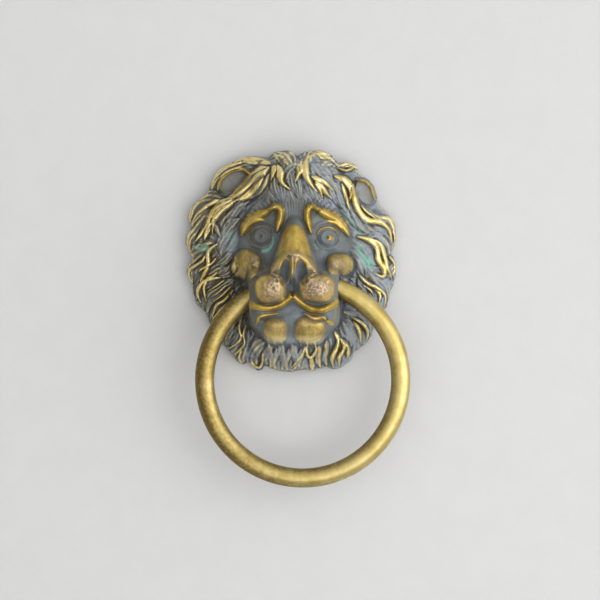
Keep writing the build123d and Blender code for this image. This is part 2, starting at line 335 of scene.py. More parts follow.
# ---- the head's large forms -------------------------------------------------------------------------
# The lobed outline of the casting, clockwise from the middle of the crown.
OUTLINE = [
    (-1.5, 58.5), (2, 56), (6, 58.3), (13.5, 59.2), (19, 57), (23.5, 52.5), (27.5, 52.8), (32.5, 51),
    (34.3, 46), (38.5, 43.8), (42, 40), (44, 34), (45.5, 29.5), (50, 25), (53, 19.5), (53.8, 13),
    (53, 7.5), (51.3, 4.5), (53.3, 0.5), (54, -4.5), (52.5, -11.5), (50.3, -17), (49, -23), (46.5, -29),
    (42.3, -35), (39.5, -41.5), (35, -45.5), (31.5, -48), (29.8, -52), (25.5, -55.3), (21.5, -57),
    (17.2, -55.2), (13.3, -56.6), (8.8, -57.8), (5, -57), (-2, -58.2), (-11.5, -56.5), (-14.5, -55.2),
    (-18, -57.4), (-21.5, -55.6), (-24, -53), (-27.8, -54), (-32, -50), (-36, -45.5), (-40, -40),
    (-43.5, -34.5), (-45.5, -29), (-48.5, -24.5), (-51.8, -21.3), (-53.5, -15), (-53.6, -11.8),
    (-56.4, -7), (-56, -2.5), (-54, 2), (-57.3, 10), (-56, 15.5), (-54.3, 18.3), (-55.8, 23), (-54.5, 28),
    (-50, 33), (-45.3, 37.3), (-43.5, 43), (-39, 48.7), (-31.5, 53.2), (-23.5, 56.2), (-14, 55.2),
    (-11, 57.8), (-7, 58.8),
]
# Half width of the muzzle and its height over the door, from the beard up to the eyes.
MUZZLE_LEVELS = (-52.0, -46.0, -40.0, -36.5, -33.0, -28.0, -8.0, 0.0, 10.0)
MUZZLE_HALF_WIDTHS = (13.0, 15.5, 17.5, 20.0, 23.8, 24.6, 24.6, 23.0, 18.0)
MUZZLE_HEIGHTS = (8.0, 22.0, 36.0, 41.0, 43.5, 45.5, 46.5, 38.0, 20.0)
# The same for the nose, from under its tip up to the brow.
NOSE_LEVELS = (-12.0, -6.0, 0.0, 4.0, 12.0, 18.0, 22.0, 26.0)
NOSE_HALF_WIDTHS = (13.2, 13.0, 12.2, 10.6, 7.9, 5.8, 3.4, 1.0)
NOSE_HEIGHTS = (49.0, 51.5, 54.0, 52.5, 46.0, 40.0, 34.0, 28.0)


def levels(at, values):
    """Values down the middle line, read off a list of levels and rounded so that no corner shows."""
    column = np.interp(AXIS_Z, at, values)
    reach = int(3.0 / CELL)
    kernel = np.hanning(2 * reach + 1)
    column = np.convolve(np.pad(column, reach, mode="edge"), kernel / kernel.sum(), mode="valid")
    return np.broadcast_to(column, X.shape)


def mane_base(rim):
    """The mane's ground: a thick edge, rising inwards, and kept low where the ring swings past."""
    edge_height, inner_rise, rise_over = 4.2, 7.6, 3.6
    low = edge_height + inner_rise * (1.0 - np.exp(-np.clip(rim, 0, None) / rise_over))
    upper = smooth_step(-16.0, 6.0, Z)
    return low + upper * 6.5 * smooth_step(3.0, 20.0, rim)


def head_base(rim):
    """The mane's ground with the skull, forelock mass and beard standing out of it."""
    masses = (
        (31.0, oval(0.0, 6.0, 33.0, 41.0), 3.4),
        (30.0, oval(1.0, 39.0, 27.0, 19.5), 2.6),
        (26.0, oval(-1.0, -37.0, 25.5, 21.5), 2.4),
    )
    base = mane_base(rim)
    for height, place, power in masses:
        base = smooth_max(base, height * dome(place, power), 2.0)
    return base


def muzzle_form():
    """The block of the muzzle: steep at its sides, where the ring enters, and rounded at its front."""
    half = levels(MUZZLE_LEVELS, MUZZLE_HALF_WIDTHS)
    top = levels(MUZZLE_LEVELS, MUZZLE_HEIGHTS)
    inset = np.clip((half - np.abs(X)) / 12.0, 0, 1)
    block = (1.0 - (1.0 - inset) ** 3.2) ** 0.36
    mound = np.exp(-0.5 * (X / 17.0) ** 2)
    return top * (mound + (block - mound) * smooth_step(2.0, -9.0, Z))


def nose_form():
    """How far the nose stands out, as a height over the door, and where it lies."""
    half = levels(NOSE_LEVELS, NOSE_HALF_WIDTHS)
    top = levels(NOSE_LEVELS, NOSE_HEIGHTS)
    near = np.abs(X - 0.2) / half
    body = 1.0 - np.clip(near, 0, 1.35) ** 1.9
    ends = smooth_step(-15.0, -7.0, Z) * (1.0 - smooth_step(20.0, 27.0, Z))
    return top, body, ends


# ---- the mane, lock by lock -------------------------------------------------------------------------
# Each row is a Lock: its points from root to tip, then the values that Lock names, in its order.
# Locks along the top edge and round the ears.
CROWN_LOCKS = [
    ([(-14, 53.5), (-24, 54), (-33.5, 50.5), (-41, 44), (-43.5, 38)], 3.4, 1.6, 3, 0.55),
    ([(-12, 51), (-20, 52), (-27, 52.2)], 1.3, 1.2, 0, 0.8),
    ([(-2, 49), (-6, 55), (-10.5, 57), (-13, 55)], 4.0, 2.2, 3, 0.5),
    ([(1, 50), (-2, 56), (-6.5, 58), (-10, 57.5)], 2.2, 2.4, 2, 0.6),
    ([(8, 51), (7, 56), (12, 58), (19, 56)], 4.0, 2.4, 3, 0.45),
    ([(19.5, 54.2), (15.5, 54.6), (11.5, 57)], 1.5, 2.6, 2, 0.95, 0.4, 0.4),
    ([(14, 50), (20, 52.5), (25, 50)], 2.6, 1.8, 2, 0.35),
    ([(21, 50), (27, 52), (32.5, 50.5), (34, 46.5)], 3.0, 2.6, 2, 0.4),
    ([(22.5, 49.3), (27.5, 47.8), (32, 49.8)], 0.9, 3.4, 0, 1.0, 0.3, 0.3),
    ([(22.5, 49.6), (27.5, 51.6), (32, 50.2)], 0.8, 3.2, 0, 0.9, 0.3, 0.3),
]
# The great swept lock on the left and what lies under it.
UPPER_LEFT_LOCKS = [
    ([(-38, 33), (-46, 32), (-52, 28), (-55, 20)], 5.0, 2.2, 4, 0.35),
    ([(-38, 32.5), (-45, 29.5), (-50.5, 25.5), (-53.5, 21)], 1.5, 3.2, 1, 0.9),
    ([(-42, 27), (-48, 23.5), (-53, 17), (-55.5, 11), (-55, 5)], 3.6, 1.8, 3, 0.35),
    ([(-25, 33), (-32, 27), (-37, 20), (-38, 13)], 4.0, 1.5, 3, 0.12),
    ([(-22, 36), (-29, 29.5), (-33, 23), (-34.5, 16)], 3.0, 1.6, 3, 0.08),
    ([(-29, 22), (-34, 17), (-38, 9), (-38, 3)], 3.4, 1.4, 3, 0.08),
    ([(-13.5, 48.5), (-20, 45), (-24.5, 38.5), (-30, 33.5), (-37, 32)], 4.2, 3.4, 3, 0.8, 0.12, 0.35),
    ([(-15.5, 43.5), (-20.5, 37.5), (-26, 33), (-31.5, 31.5)], 2.0, 3.6, 1, 0.85, 0.3, 0.5),
    ([(-12, 46), (-15.5, 40), (-20.5, 34.5), (-27, 31.5)], 1.8, 2.2, 1, 0.25, 0.3, 0.5),
    ([(-31, 33), (-38, 29.5), (-43, 24), (-47.5, 16.5), (-51.8, 10.5)], 2.8, 3.4, 2, 1.0, 0.2, 0.6),
    ([(-30, 32), (-37, 28), (-42, 22.5), (-45.5, 16), (-47, 11)], 3.0, 3.9, 2, 1.0, 0.2, 0.5),
    ([(-32, 30), (-38.5, 26), (-42, 20.5), (-42.7, 14.5)], 1.7, 3.4, 1, 0.95, 0.2, 0.5),
    ([(-43, 22), (-40.5, 17), (-38, 12)], 1.5, 1.8, 1, 0.15, 0.3, 0.5),
]
MIDDLE_LEFT_LOCKS = [
    ([(-40, 8), (-47, 7), (-53, 3), (-55, -4), (-53.5, -10.5)], 4.2, 1.7, 3, 0.3),
    ([(-36, -3), (-43, -8), (-49, -13), (-51.5, -20)], 4.5, 1.5, 4, 0.2),
    ([(-32, -10), (-39, -15), (-44, -20), (-46, -27)], 4.2, 1.3, 5, 0.16),
    ([(-31, -17), (-36, -22), (-41.5, -27), (-43.5, -34)], 3.6, 1.2, 4, 0.16),
    ([(-31, -22), (-35, -28), (-40, -33), (-41, -38)], 3.0, 1.1, 3, 0.1),
    ([(-31, -1), (-35, -6), (-40, -9)], 2.6, 1.2, 3, 0.16),
    ([(-32, 4), (-37, 0), (-41, -2.5)], 2.4, 1.2, 3, 0.14),
    ([(-46, 4.5), (-48, 0.5), (-52, -2.2), (-55, -4.5), (-55.4, -8), (-53.6, -11)], 0.95, 2.4, 0, 0.95),
    ([(-40, 9.2), (-44.8, 5), (-45, -1.5), (-47.3, -7), (-49.5, -10.8)], 1.35, 3.0, 0, 1.0, 0.2, 0.3),
    ([(-40.5, 2), (-43, -1), (-46, -3.5)], 0.7, 2.3, 0, 0.9),
    ([(-44.8, -2), (-48.8, -4.2), (-50, -5.5)], 0.8, 2.3, 0, 0.9),
    ([(-38.5, -8.5), (-44.5, -9.3), (-48.8, -12), (-50.8, -16.5), (-49.3, -21.5)],
     1.35, 2.3, 0, 1.0, 0.2, 0.4),
    ([(-45.5, -10), (-47.3, -14), (-46.2, -21)], 0.95, 2.2, 0, 0.95, 0.2, 0.4),
    ([(-40, -5.5), (-42.5, -7.5), (-46, -8.5)], 0.7, 2.0, 0, 0.7),
    ([(-31.5, -14.7), (-36.2, -20), (-41, -23.5), (-43, -29.5)], 1.0, 1.9, 0, 0.95, 0.2, 0.4),
    ([(-32.6, -20.8), (-38, -25), (-43, -30.4)], 0.9, 1.8, 0, 0.8, 0.2, 0.4),
    ([(-35, -12), (-40, -16.5), (-44, -19)], 0.6, 1.6, 0, 0.4),
    ([(-36, -9.5), (-41, -13), (-45, -15.5)], 0.6, 1.6, 0, 0.35),
    ([(-33, -13), (-38, -18), (-42.5, -21)], 0.6, 1.6, 0, 0.35),
]
# Locks inside the ring and along the beard's edge.
LOWER_LOCKS = [
    ([(-27, -27), (-31, -35), (-34, -41), (-36, -44)], 4.0, 1.2, 4, 0.16),
    ([(-26, -31), (-28, -40), (-30.5, -47), (-31, -50)], 4.0, 1.5, 3, 0.2),
    ([(-24, -36), (-25.5, -44), (-26.5, -50), (-28, -54)], 3.2, 1.9, 2, 0.15),
    ([(-27.2, -29.5), (-28.7, -34.5), (-27.7, -39.5), (-29.5, -42.5), (-34.5, -46)],
     0.95, 2.6, 0, 0.95, 0.2, 0.3),
    ([(-25, -33), (-26.5, -38), (-26, -43), (-29, -47), (-32, -49.3)], 0.8, 2.6, 0, 0.85, 0.2, 0.3),
    ([(-27.5, -46.5), (-28.8, -50.5), (-27.6, -53.8)], 0.8, 2.4, 0, 0.9, 0.2, 0.3),
    ([(21, -27), (27, -31), (30, -38), (29, -46)], 6.0, 0.9, 2, 0.03),
    ([(24, -24), (32, -27), (38, -32), (40, -40)], 4.0, 1.3, 3, 0.15),
    ([(27, -22), (36, -23), (42.5, -28), (44, -34)], 3.2, 1.2, 4, 0.15),
    ([(30, -29), (36, -32.5), (38.8, -37), (38.3, -42)], 1.1, 2.4, 0, 0.95, 0.2, 0.4),
    ([(31, -31), (34.3, -36), (35.3, -43.5)], 1.2, 2.3, 0, 0.95, 0.3, 0.4),
]
UPPER_RIGHT_LOCKS = [
    ([(24, 32), (31, 26), (37, 18.5), (43, 16)], 4.6, 1.4, 3, 0.06),
    ([(34, 22), (41, 16), (48, 15), (52.5, 9)], 4.6, 1.6, 3, 0.12),
    ([(21, 44.5), (26, 43), (29.5, 39.5), (30, 35.5), (28.8, 31)], 2.3, 3.2, 1, 0.9, 0.2, 0.5),
    ([(25, 41), (26.6, 36), (28, 30.5), (29.5, 26)], 1.2, 2.6, 0, 0.7, 0.2, 0.5),
    ([(19, 41), (23, 37), (25, 31), (27, 26)], 2.4, 1.6, 3, 0.1),
    ([(35, 30), (39.5, 25), (45, 22.5), (50.5, 21.5), (53.3, 15), (53, 9)], 2.4, 2.6, 2, 0.55, 0.2, 0.4),
    ([(31.5, 41), (31.7, 34), (33.5, 27.5), (38, 22), (45, 20.8), (49.8, 16.8), (51.8, 10.5)],
     2.2, 3.4, 1, 1.0, 0.2, 0.35),
    ([(35, 29.5), (38.5, 25.8), (43.5, 22.3)], 1.0, 3.6, 0, 1.0, 0.3, 0.4),
    ([(30, 26), (35, 18.5), (41, 15.5), (47, 14)], 1.8, 1.5, 2, 0.12),
    ([(38, 12), (44, 13), (49, 9), (50.5, 4)], 2.2, 1.6, 2, 0.2),
]
MIDDLE_RIGHT_LOCKS = [
    ([(30, 6), (35, 0), (38, -6), (37, -11)], 3.4, 1.2, 3, 0.05),
    ([(44, -3), (50, -6), (53, -2), (52.5, 2)], 3.0, 1.6, 3, 0.3),
    ([(38, -3), (44, -9), (49, -14), (50, -20)], 4.0, 1.4, 3, 0.12),
    ([(33, 13), (39.5, 11.2), (44, 7), (44.5, 1.5), (47.5, -4), (46.5, -7.8), (41.8, -6)],
     2.0, 3.0, 1, 1.0, 0.2, 0.3),
    ([(40, 12), (45.5, 8.5), (47.8, 2), (49, -3), (51.7, -9.3)], 1.5, 3.2, 0, 1.0, 0.2, 0.4),
    ([(50, 3), (53, -1), (53.3, -6)], 0.8, 2.4, 0, 0.7),
    ([(34, -7), (38.3, -11.2), (42.8, -13.5), (45.3, -17.5), (44.5, -22.5)], 1.5, 2.2, 1, 0.95, 0.2, 0.4),
    ([(36, -12), (40, -15), (42, -18)], 0.8, 1.6, 0, 0.3),
    ([(38, -12), (44, -14), (48, -18), (47.8, -23.5)], 0.9, 1.9, 0, 0.55, 0.2, 0.4),
    ([(30, -9), (35, -14), (39, -19)], 2.6, 1.0, 3, 0.08),
]
# The three pronged tufts that hang over the forehead.
FORELOCKS = [
    ([(3, 53), (-3, 49), (-5, 43), (-7, 37)], 4.5, 1.3, 4, 0.1),
    ([(9, 50), (13, 46), (17, 43), (20, 38)], 5.0, 1.3, 4, 0.1),
    ([(-1, 47), (0, 42), (2, 37), (3, 32)], 4.0, 1.0, 5, 0.06),
    ([(-9, 46), (-9, 40), (-7, 35), (-6, 30)], 4.0, 1.0, 5, 0.05),
    ([(7, 46), (9, 40), (12, 34), (15, 29)], 4.0, 1.0, 5, 0.05),
    ([(15, 44), (19, 39), (22, 33), (25, 28)], 3.4, 1.0, 4, 0.06),
    ([(-9.8, 50), (-10.5, 46.5), (-12, 41.5)], 1.8, 2.8, 1, 1.0, 0.2, 0.6),
    ([(-8.5, 50), (-7.3, 46), (-6.5, 41), (-2, 37)], 2.4, 3.0, 1, 1.0, 0.2, 0.6),
    ([(5, 54.5), (4, 49), (2.8, 45.5), (0.9, 41)], 2.6, 2.8, 1, 0.95, 0.2, 0.55),
    ([(5.5, 54.5), (5.4, 49), (7.3, 42), (12.3, 35.5)], 2.6, 3.2, 1, 1.0, 0.2, 0.6),
    ([(9, 44), (12.5, 42), (17, 39.8), (21, 36)], 1.9, 3.0, 1, 1.0, 0.2, 0.5),
    ([(10.5, 42.5), (14.2, 38.5), (16.5, 35.5), (19.8, 32.5)], 1.7, 3.4, 1, 1.0, 0.2, 0.5),
    ([(11, 41), (13, 38), (14.9, 33)], 1.3, 2.6, 0, 0.7, 0.2, 0.5),
]
# The beard's sides. The middle of its fringe is beard_fringe.
BEARD_LEFT_LOCKS = [
    ([(-13, -40), (-19, -44), (-21.5, -50), (-20.5, -56)], 3.8, 2.2, 3, 0.25, 0.2, 0.2),
    ([(-9, -40), (-13, -46), (-15.5, -52), (-16, -56)], 2.6, 1.8, 2, 0.25, 0.2, 0.3),
    ([(-16.3, -48), (-16.5, -52), (-18, -55.6), (-21.5, -54.5), (-22.8, -51)], 0.8, 2.6, 0, 0.8, 0.2, 0.2),
]
BEARD_RIGHT_LOCKS = [
    ([(8, -41), (5.5, -46.5), (2.5, -51), (-1.2, -55.5)], 1.0, 3.0, 0, 0.9, 0.2, 0.4),
    ([(6.8, -44), (6.8, -48.5), (9, -50.2), (11.5, -46.5), (11, -42)], 1.0, 3.0, 0, 0.9, 0.2, 0.3),
    ([(9, -50), (9.5, -54), (10, -57.5)], 1.4, 2.2, 0, 0.6, 0.2, 0.3),
    ([(13.5, -43), (13, -48), (12.8, -52), (14, -56)], 1.8, 2.2, 1, 0.5, 0.2, 0.3),
    ([(17, -41), (17, -46), (16, -51), (17.5, -55)], 1.6, 2.0, 1, 0.3, 0.2, 0.3),
    ([(21, -35.5), (23.3, -41), (22, -46), (20, -51), (20.8, -56)], 1.5, 2.6, 1, 0.75, 0.2, 0.3),
    ([(24.5, -40), (26.6, -45), (24, -50), (23.8, -55)], 1.3, 2.6, 0, 0.75, 0.2, 0.3),
    ([(26, -41), (28.5, -46), (28, -51)], 1.4, 2.0, 1, 0.5, 0.2, 0.3),
]


def beard_fringe():
    """The hanging locks under the chin, swaying left and right by turns."""
    locks = []
    for k, x in enumerate((-12.5, -9.4, -6.2, -3.0, 0.4, 3.6)):
        sway = 1.6 if k % 2 else -0.9
        root, tip = (x + 1.6, -39.5), (x - 0.2, -57.5)
        points = [root, (x + 0.8 + sway, -44.5), (x + 0.2, -48.5), (x - sway, -52.5), tip]
        locks.append((points, 2.0, 2.8, 1, 0.14, 0.15, 0.3))
    return locks


# ---- the face ---------------------------------------------------------------------------------------
# A row in a table of ridges is the points, half width, lift, gold, and sometimes root and tip, as for a Lock.
def draw_nose(relief):
    top, body, ends = nose_form()
    ground = relief.height
    raised = ground + (top - ground) * np.clip(body, -0.5, 1) * ends
    relief.height = np.where(body > 0, np.maximum(ground, raised), ground)
    rounded_top = 1.0 - smooth_step(16.5, 21.5, Z + 0.10 * X**2)
    bridge = np.clip(2.2 * body, 0, 1) * smooth_step(-7.0, -2.0, Z) * np.where(Z > 10.0, rounded_top, 1.0)
    relief.gold = np.maximum(relief.gold, 0.85 * bridge)
    for side in (-1, 1):
        wing = oval(side * 9.2 + 0.1, -3.2, 2.9, 5.4, side * 30)
        draw_bump(relief, wing, 1.6, 0.75)
        nostril = oval(side * 4.3 - 0.2, -6.2, 3.0, 7.0, side * 8)
        draw_hollow(relief, nostril, 4.6)
    arch = [(-11.4, -6.4), (-9.6, -2.4), (-6.6, 1.2), (-2.2, 3.0),
            (2.2, 2.9), (6.6, 0.4), (9.4, -3.0), (11.6, -6.2)]
    draw_ridges(relief, (
        (arch, 1.7, 1.5, 0.8),
        ([(-0.7, 2), (-0.6, -3), (-0.9, -8), (-1, -12.5)], 0.9, 3.0, 0.8, 0.1, 0.5),
        ([(-11.8, -7.4), (-8.9, -8.6), (-6.8, -7.4)], 0.8, -1.2, 0),
        ([(12.0, -7.0), (9.2, -8.5), (6.8, -7.4)], 0.8, -1.2, 0),
    ))
    draw_pit(relief, oval(-2.7, 2.0, 0.8, 0.7), 0.9)


def stipple():
    """The pads' pricked surface: fine lumps, about 1 in spread."""
    lumps = blur(np.random.default_rng(SEED + 2).standard_normal(X.shape), 0.42)
    return lumps / lumps.std()


def draw_pads(relief):
    """The two whisker pads, the cleft between them and the folds beside the nose."""
    draw_ridge(relief, [(-1, -8), (-0.9, -13), (-0.6, -18)], 2.2, -3.4, 0, 0.3, 0.3)
    pricked = 0.13 * stipple()
    for pad in (squarish(-11.9, -14.3, 8.6, 8.0, 6), squarish(12.0, -14.1, 9.9, 7.8, -5)):
        draw_edge_groove(relief, pad, 1.05, 0.9)
        draw_bump(relief, pad, 6.6, 0.75, 0.7)
        relief.height += pricked * np.clip(1.4 - pad, 0, 1)
    draw_ridges(relief, (
        ([(-17, -5.5), (-20.5, -7.5), (-22, -12)], 3.0, 1.6, 0.35, 0.3, 0.3),
        ([(14.5, -6.0), (18.5, -8.0), (20.5, -12)], 3.0, 1.6, 0.5, 0.3, 0.3),
    ))
    relief.gold *= 1.0 - dome(oval(-0.7, -15.0, 3.0, 5.5))
    for x in (-8.7, 6.6):
        draw_pit(relief, oval(x, -10.4, 0.9, 0.9), 1.3)


def draw_lips(relief):
    """The hollow under the pads, the long lip in it, the lower lips and the muzzle's corners."""
    hollow = [(-17, -30), (-9, -27.5), (0, -24.5), (9, -28), (17, -30)]
    lip = [(-23.6, -22.6), (-18, -23.6), (-12.3, -24.2), (-7, -22.8), (-3.2, -20), (-0.6, -17.9),
           (3.8, -21.4), (8.8, -24.8), (14.2, -25.2), (19.3, -23.2), (23.6, -21.4)]
    draw_ridges(relief, (
        (hollow, 4.0, -2.4, 0, 0.3, 0.3),
        (lip, 2.1, 3.4, 0.9, 0.05, 0.05),
        ([(-19.2, -32.5), (-17.6, -29.6), (-13.4, -28), (-7.2, -27)], 1.15, 2.1, 0.85, 0.3, 0.4),
        ([(5, -27), (9.7, -28.8), (15, -29.4), (18, -31.6), (20.4, -33.2)], 1.2, 2.1, 0.85, 0.3, 0.2),
        ([(21.9, -25.5), (21.2, -29.5), (20.3, -33)], 0.7, 1.3, 0.4),
        ([(-22.6, -26), (-21.8, -29), (-20, -33)], 0.7, 1.1, 0.25),
    ))


def draw_chin(relief):
    """The chin's two balls and the short tufts that hang from them."""
    draw_bump(relief, squarish(-9.4, -36.0, 6.8, 7.4, -10), 4.8, 0.66, 0.85)
    draw_bump(relief, squarish(8.4, -36.0, 8.8, 7.6, -8), 4.8, 0.7, 0.8)
    tufts = ((-13, -40, 1.0), (-9.5, -41, 1.2), (-6, -40, 0.9),
             (3.5, -39, 1.0), (7, -40, 1.3), (11, -40, 1.1))
    for x, z, half in tufts:
        draw_ridge(relief, [(x, z + 4), (x - 0.4, z), (x + 0.3, z - 5)], half, 0.6, 0.4, 0.4, 0.6)


def draw_cheeks(relief):
    for pad in (squarish(-24.8, -1.8, 7.8, 8.2, -20), squarish(24.0, -1.7, 7.6, 6.1, 0)):
        draw_edge_groove(relief, pad, 1.08, 0.7)
        draw_bump(relief, pad, 7.6, 0.68, 0.7)
    draw_ridge(relief, [(-21, -2), (-17.5, -1.8), (-14.5, -2.6)], 2.6, 1.4, 0.35, 0.4, 0.5)
    draw_ridge(relief, [(-31, 6.2), (-26, 7.4), (-20.5, 5.8)], 0.9, 0.8, 0.1, 0.3, 0.3)


def draw_brows(relief):
    """Each brow is a thick bar rising to a corner over the nose, with a shorter bar down from that corner."""
    lift, gold = 4.4, 1.0
    draw_ridges(relief, (
        ([(-27.2, 13.8), (-25.4, 18.2), (-22.2, 21.6), (-17.4, 23.8), (-11.4, 27.0)],
         3.2, lift, gold, 0.28, 0.3),
        ([(-13.0, 26.6), (-9.4, 28.0), (-7.0, 26.6), (-6.9, 22.0), (-7.9, 18.4), (-8.6, 15.2)],
         2.3, lift, gold, 0.2, 0.3),
        ([(10.8, 27.2), (16.8, 24.4), (21.8, 21.9), (25.6, 18.3), (28.6, 13.4)], 3.1, lift, gold, 0.3, 0.28),
        ([(13.4, 26.6), (9.8, 28.0), (7.4, 26.4), (7.0, 22.0), (7.8, 18.0), (9.0, 14.2)],
         2.2, lift, gold, 0.2, 0.3),
    ))


def draw_eye(relief, x, z, painted_glint_gold, lid_gold):
    """Socket, ball, iris ring, pupil, then lid, fold and bag. Beside the pupil a painted highlight is laid in
    as worn metal.
    """
    relief.height -= 2.4 * np.exp(-(oval(x, z, 9.2, 7.0) ** 2.5))
    relief.height += 3.4 * np.clip(1.0 - oval(x, z, 5.4, 4.8) ** 2, 0, 1) ** 0.75
    r = np.hypot(X - x, Z - z)
    relief.height += 0.7 * np.exp(-(((r - 3.1) / 0.6) ** 2))
    relief.height -= 0.6 * np.exp(-(((r - 2.1) / 0.7) ** 2))
    relief.height -= 2.1 * np.exp(-((np.hypot(X - x + 0.3, Z - z) / 1.1) ** 2))
    # Painted highlight: a glint of bright metal beside the pupil, towards the light.
    gleam = np.exp(-((np.hypot(X - x - 1.6, Z - z + 0.4) / 1.5) ** 2))
    relief.gold = np.maximum(relief.gold, painted_glint_gold * gleam)
    draw_ridges(relief, (
        (arc(x, z + 0.1, 5.7, 5.2, range(15, 166, 25)), 0.8, 2.0, lid_gold, 0.35, 0.35),
        (arc(x, z + 0.6, 8.6, 7.4, (35, 60, 90, 120, 145)), 1.0, 1.3, 0.12, 0.3, 0.3),
        (arc(x, z, 6.4, 5.8, (195, 230, 270, 310, 345)), 1.1, 1.1, 0.1, 0.3, 0.3),
    ))


def draw_forehead_lines(relief):
    """Short hair strokes fanning up from the brows."""
    half, lift = 0.34, -0.5
    for k in range(13):
        x = -6.5 + 1.25 * k
        lean = 0.16 * (x - 1)
        low = 24.5 + 0.8 * math.cos(1.3 * k)
        high = low + 6.5 + 0.9 * math.sin(2.1 * k)
        points = [(x, low), (x + 0.5 * lean, 0.5 * (low + high)), (x + lean * 1.6, high)]
        draw_ridge(relief, points, half, lift, 0)
    for side in (-1, 1):
        for k in range(9):
            x = side * (9.5 + 1.9 * k)
            z = 30.5 - 0.22 * (abs(x) - 9) - 0.03 * (abs(x) - 9) ** 2
            a = math.radians(58 - 3.0 * k)
            dx, dz = side * 3.2 * math.cos(a), 3.2 * math.sin(a)
            points = [(x, z), (x + 0.5 * dx, z + 0.6 * dz), (x + dx, z + dz)]
            draw_ridge(relief, points, half, lift, 0)


def draw_ears(relief):
    """Two cupped ears: a smooth dish inside a raised rim."""
    dish_height = 15.0
    for dish, depth in ((oval(-31.2, 42.0, 8.8, 5.2, 27), 3.4), (oval(37.6, 36.6, 4.6, 7.2, 24), 3.0)):
        relief.height = np.where(dish < 1.0, dish_height - depth * dome(dish), relief.height)
        relief.gold *= dish > 1.0
        relief.smooth = np.maximum(relief.smooth, np.clip(1.3 - dish, 0, 1) * 3)
    left = [(-39.8, 37.6), (-38.7, 42.4), (-35.2, 46.6), (-30, 48.7), (-26.4, 48.2), (-22.6, 45.2)]
    right = [(32.6, 43), (37.2, 42.2), (41, 38.3), (42.9, 32.6)]
    draw_ridge(relief, left, 1.2, 3.2, 1.0)
    draw_ridge(relief, right, 1.15, 3.2, 0.95)


def skin_mask():
    """Where the face is bare: no hair is cut there."""
    face = np.clip((1.08 - oval(0.0, 6.0, 31.0, 26.0)) * 6, 0, 1)
    half = levels(MUZZLE_LEVELS, MUZZLE_HALF_WIDTHS)
    muzzle = np.clip((half + 1.5 - np.abs(X)) / 1.5, 0, 1) * smooth_step(-41.0, -37.5, Z) * (Z < 8)
    return np.maximum(face, muzzle)


# ---- hair cut along the locks -----------------------------------------------------------------------
def flow_angles(relief):
    """The direction of the hair everywhere, spread out from the locks."""
    step, reach, anywhere = 1.5, 2.6, 1e-5
    xs = np.arange(-REACH_X, REACH_X + step, step)
    zs = np.arange(-REACH_Z, REACH_Z + step, step)
    gx, gz = np.meshgrid(xs, zs, indexing="ij")
    c = np.zeros(gx.shape)
    s = np.zeros(gx.shape)
    for x, z, angle in relief.flow:
        weight = np.exp(-0.5 * ((gx - x) ** 2 + (gz - z) ** 2) / reach**2) + anywhere
        c += weight * math.cos(2 * angle)
        s += weight * math.sin(2 * angle)
    i = (X + REACH_X) / step
    j = (Z + REACH_Z) / step
    return 0.5 * np.arctan2(bilinear(s, i, j), bilinear(c, i, j))


def bilinear(field, i, j):
    """Values of a grid at fractional places."""
    i = np.clip(i, 0, field.shape[0] - 1.001)
    j = np.clip(j, 0, field.shape[1] - 1.001)
    i0, j0 = i.astype(int), j.astype(int)
    u, v = i - i0, j - j0
    low = field[i0, j0] * (1 - u) + field[i0 + 1, j0] * u
    high = field[i0, j0 + 1] * (1 - u) + field[i0 + 1, j0 + 1] * u
    return low * (1 - v) + high * v


def at_point(field, x, z):
    return bilinear(field, (x + REACH_X) / CELL, (z + REACH_Z) / CELL)


def hair_texture(angles):
    """Noise smeared along the hair's direction, about 0 in the mean and 1 in spread."""
    hair_width, smear, step = 0.36, 6.0, 0.5
    rng = np.random.default_rng(SEED)
    noise = blur(rng.standard_normal(X.shape), hair_width)
    total = noise.copy()
    c, s = np.cos(angles), np.sin(angles)
    for way in (-1, 1):
        i = (X + REACH_X) / CELL
        j = (Z + REACH_Z) / CELL
        fx, fz = c * way, s * way
        for _ in range(int(smear / 2 / step)):
            i = i + fx * step / CELL
            j = j + fz * step / CELL
            total += bilinear(noise, i, j)
            nx, nz = bilinear(c, i, j), bilinear(s, i, j)
            flip = np.where(nx * fx + nz * fz < 0, -1.0, 1.0)
            fx, fz = nx * flip, nz * flip
    return total / total.std()


# ---- the whole relief -------------------------------------------------------------------------------
def hand_work():
    """Small unevenness left by the modeller's tools and the casting, in millimetres."""
    rng = np.random.default_rng(SEED + 1)
    total = np.zeros(X.shape)
    for size, lift in ((2.4, 0.20), (1.1, 0.10), (0.5, 0.045)):
        lumps = blur(rng.standard_normal(X.shape), size)
        total += lift * lumps / lumps.std()
    return total


def draw_face(relief):
    soft_edge = 1.6 + 4.0 * smooth_step(-12.0, -2.0, Z)
    relief.height = smooth_max(relief.height, muzzle_form(), soft_edge)
    draw_cheeks(relief)
    draw_brows(relief)
    draw_nose(relief)
    draw_pads(relief)
    draw_lips(relief)
    draw_chin(relief)
    draw_eye(relief, -17.0, 12.9, 0.3, 0.36)
    draw_eye(relief, 17.5, 12.2, 1.3, 0.62)
    draw_forehead_lines(relief)


def keep_patina_on_flanks(relief, skin):
    """Hands don't reach the steep sides of locks, nor the steepest ones of the face."""
    steep = steepness(blur(relief.height, 0.7))
    relief.gold *= 1.0 - 0.85 * smooth_step(2.6, 5.0, steep) * (1.0 - 0.8 * skin)
    relief.gold *= 1.0 - 0.75 * smooth_step(4.0, 8.0, steep)


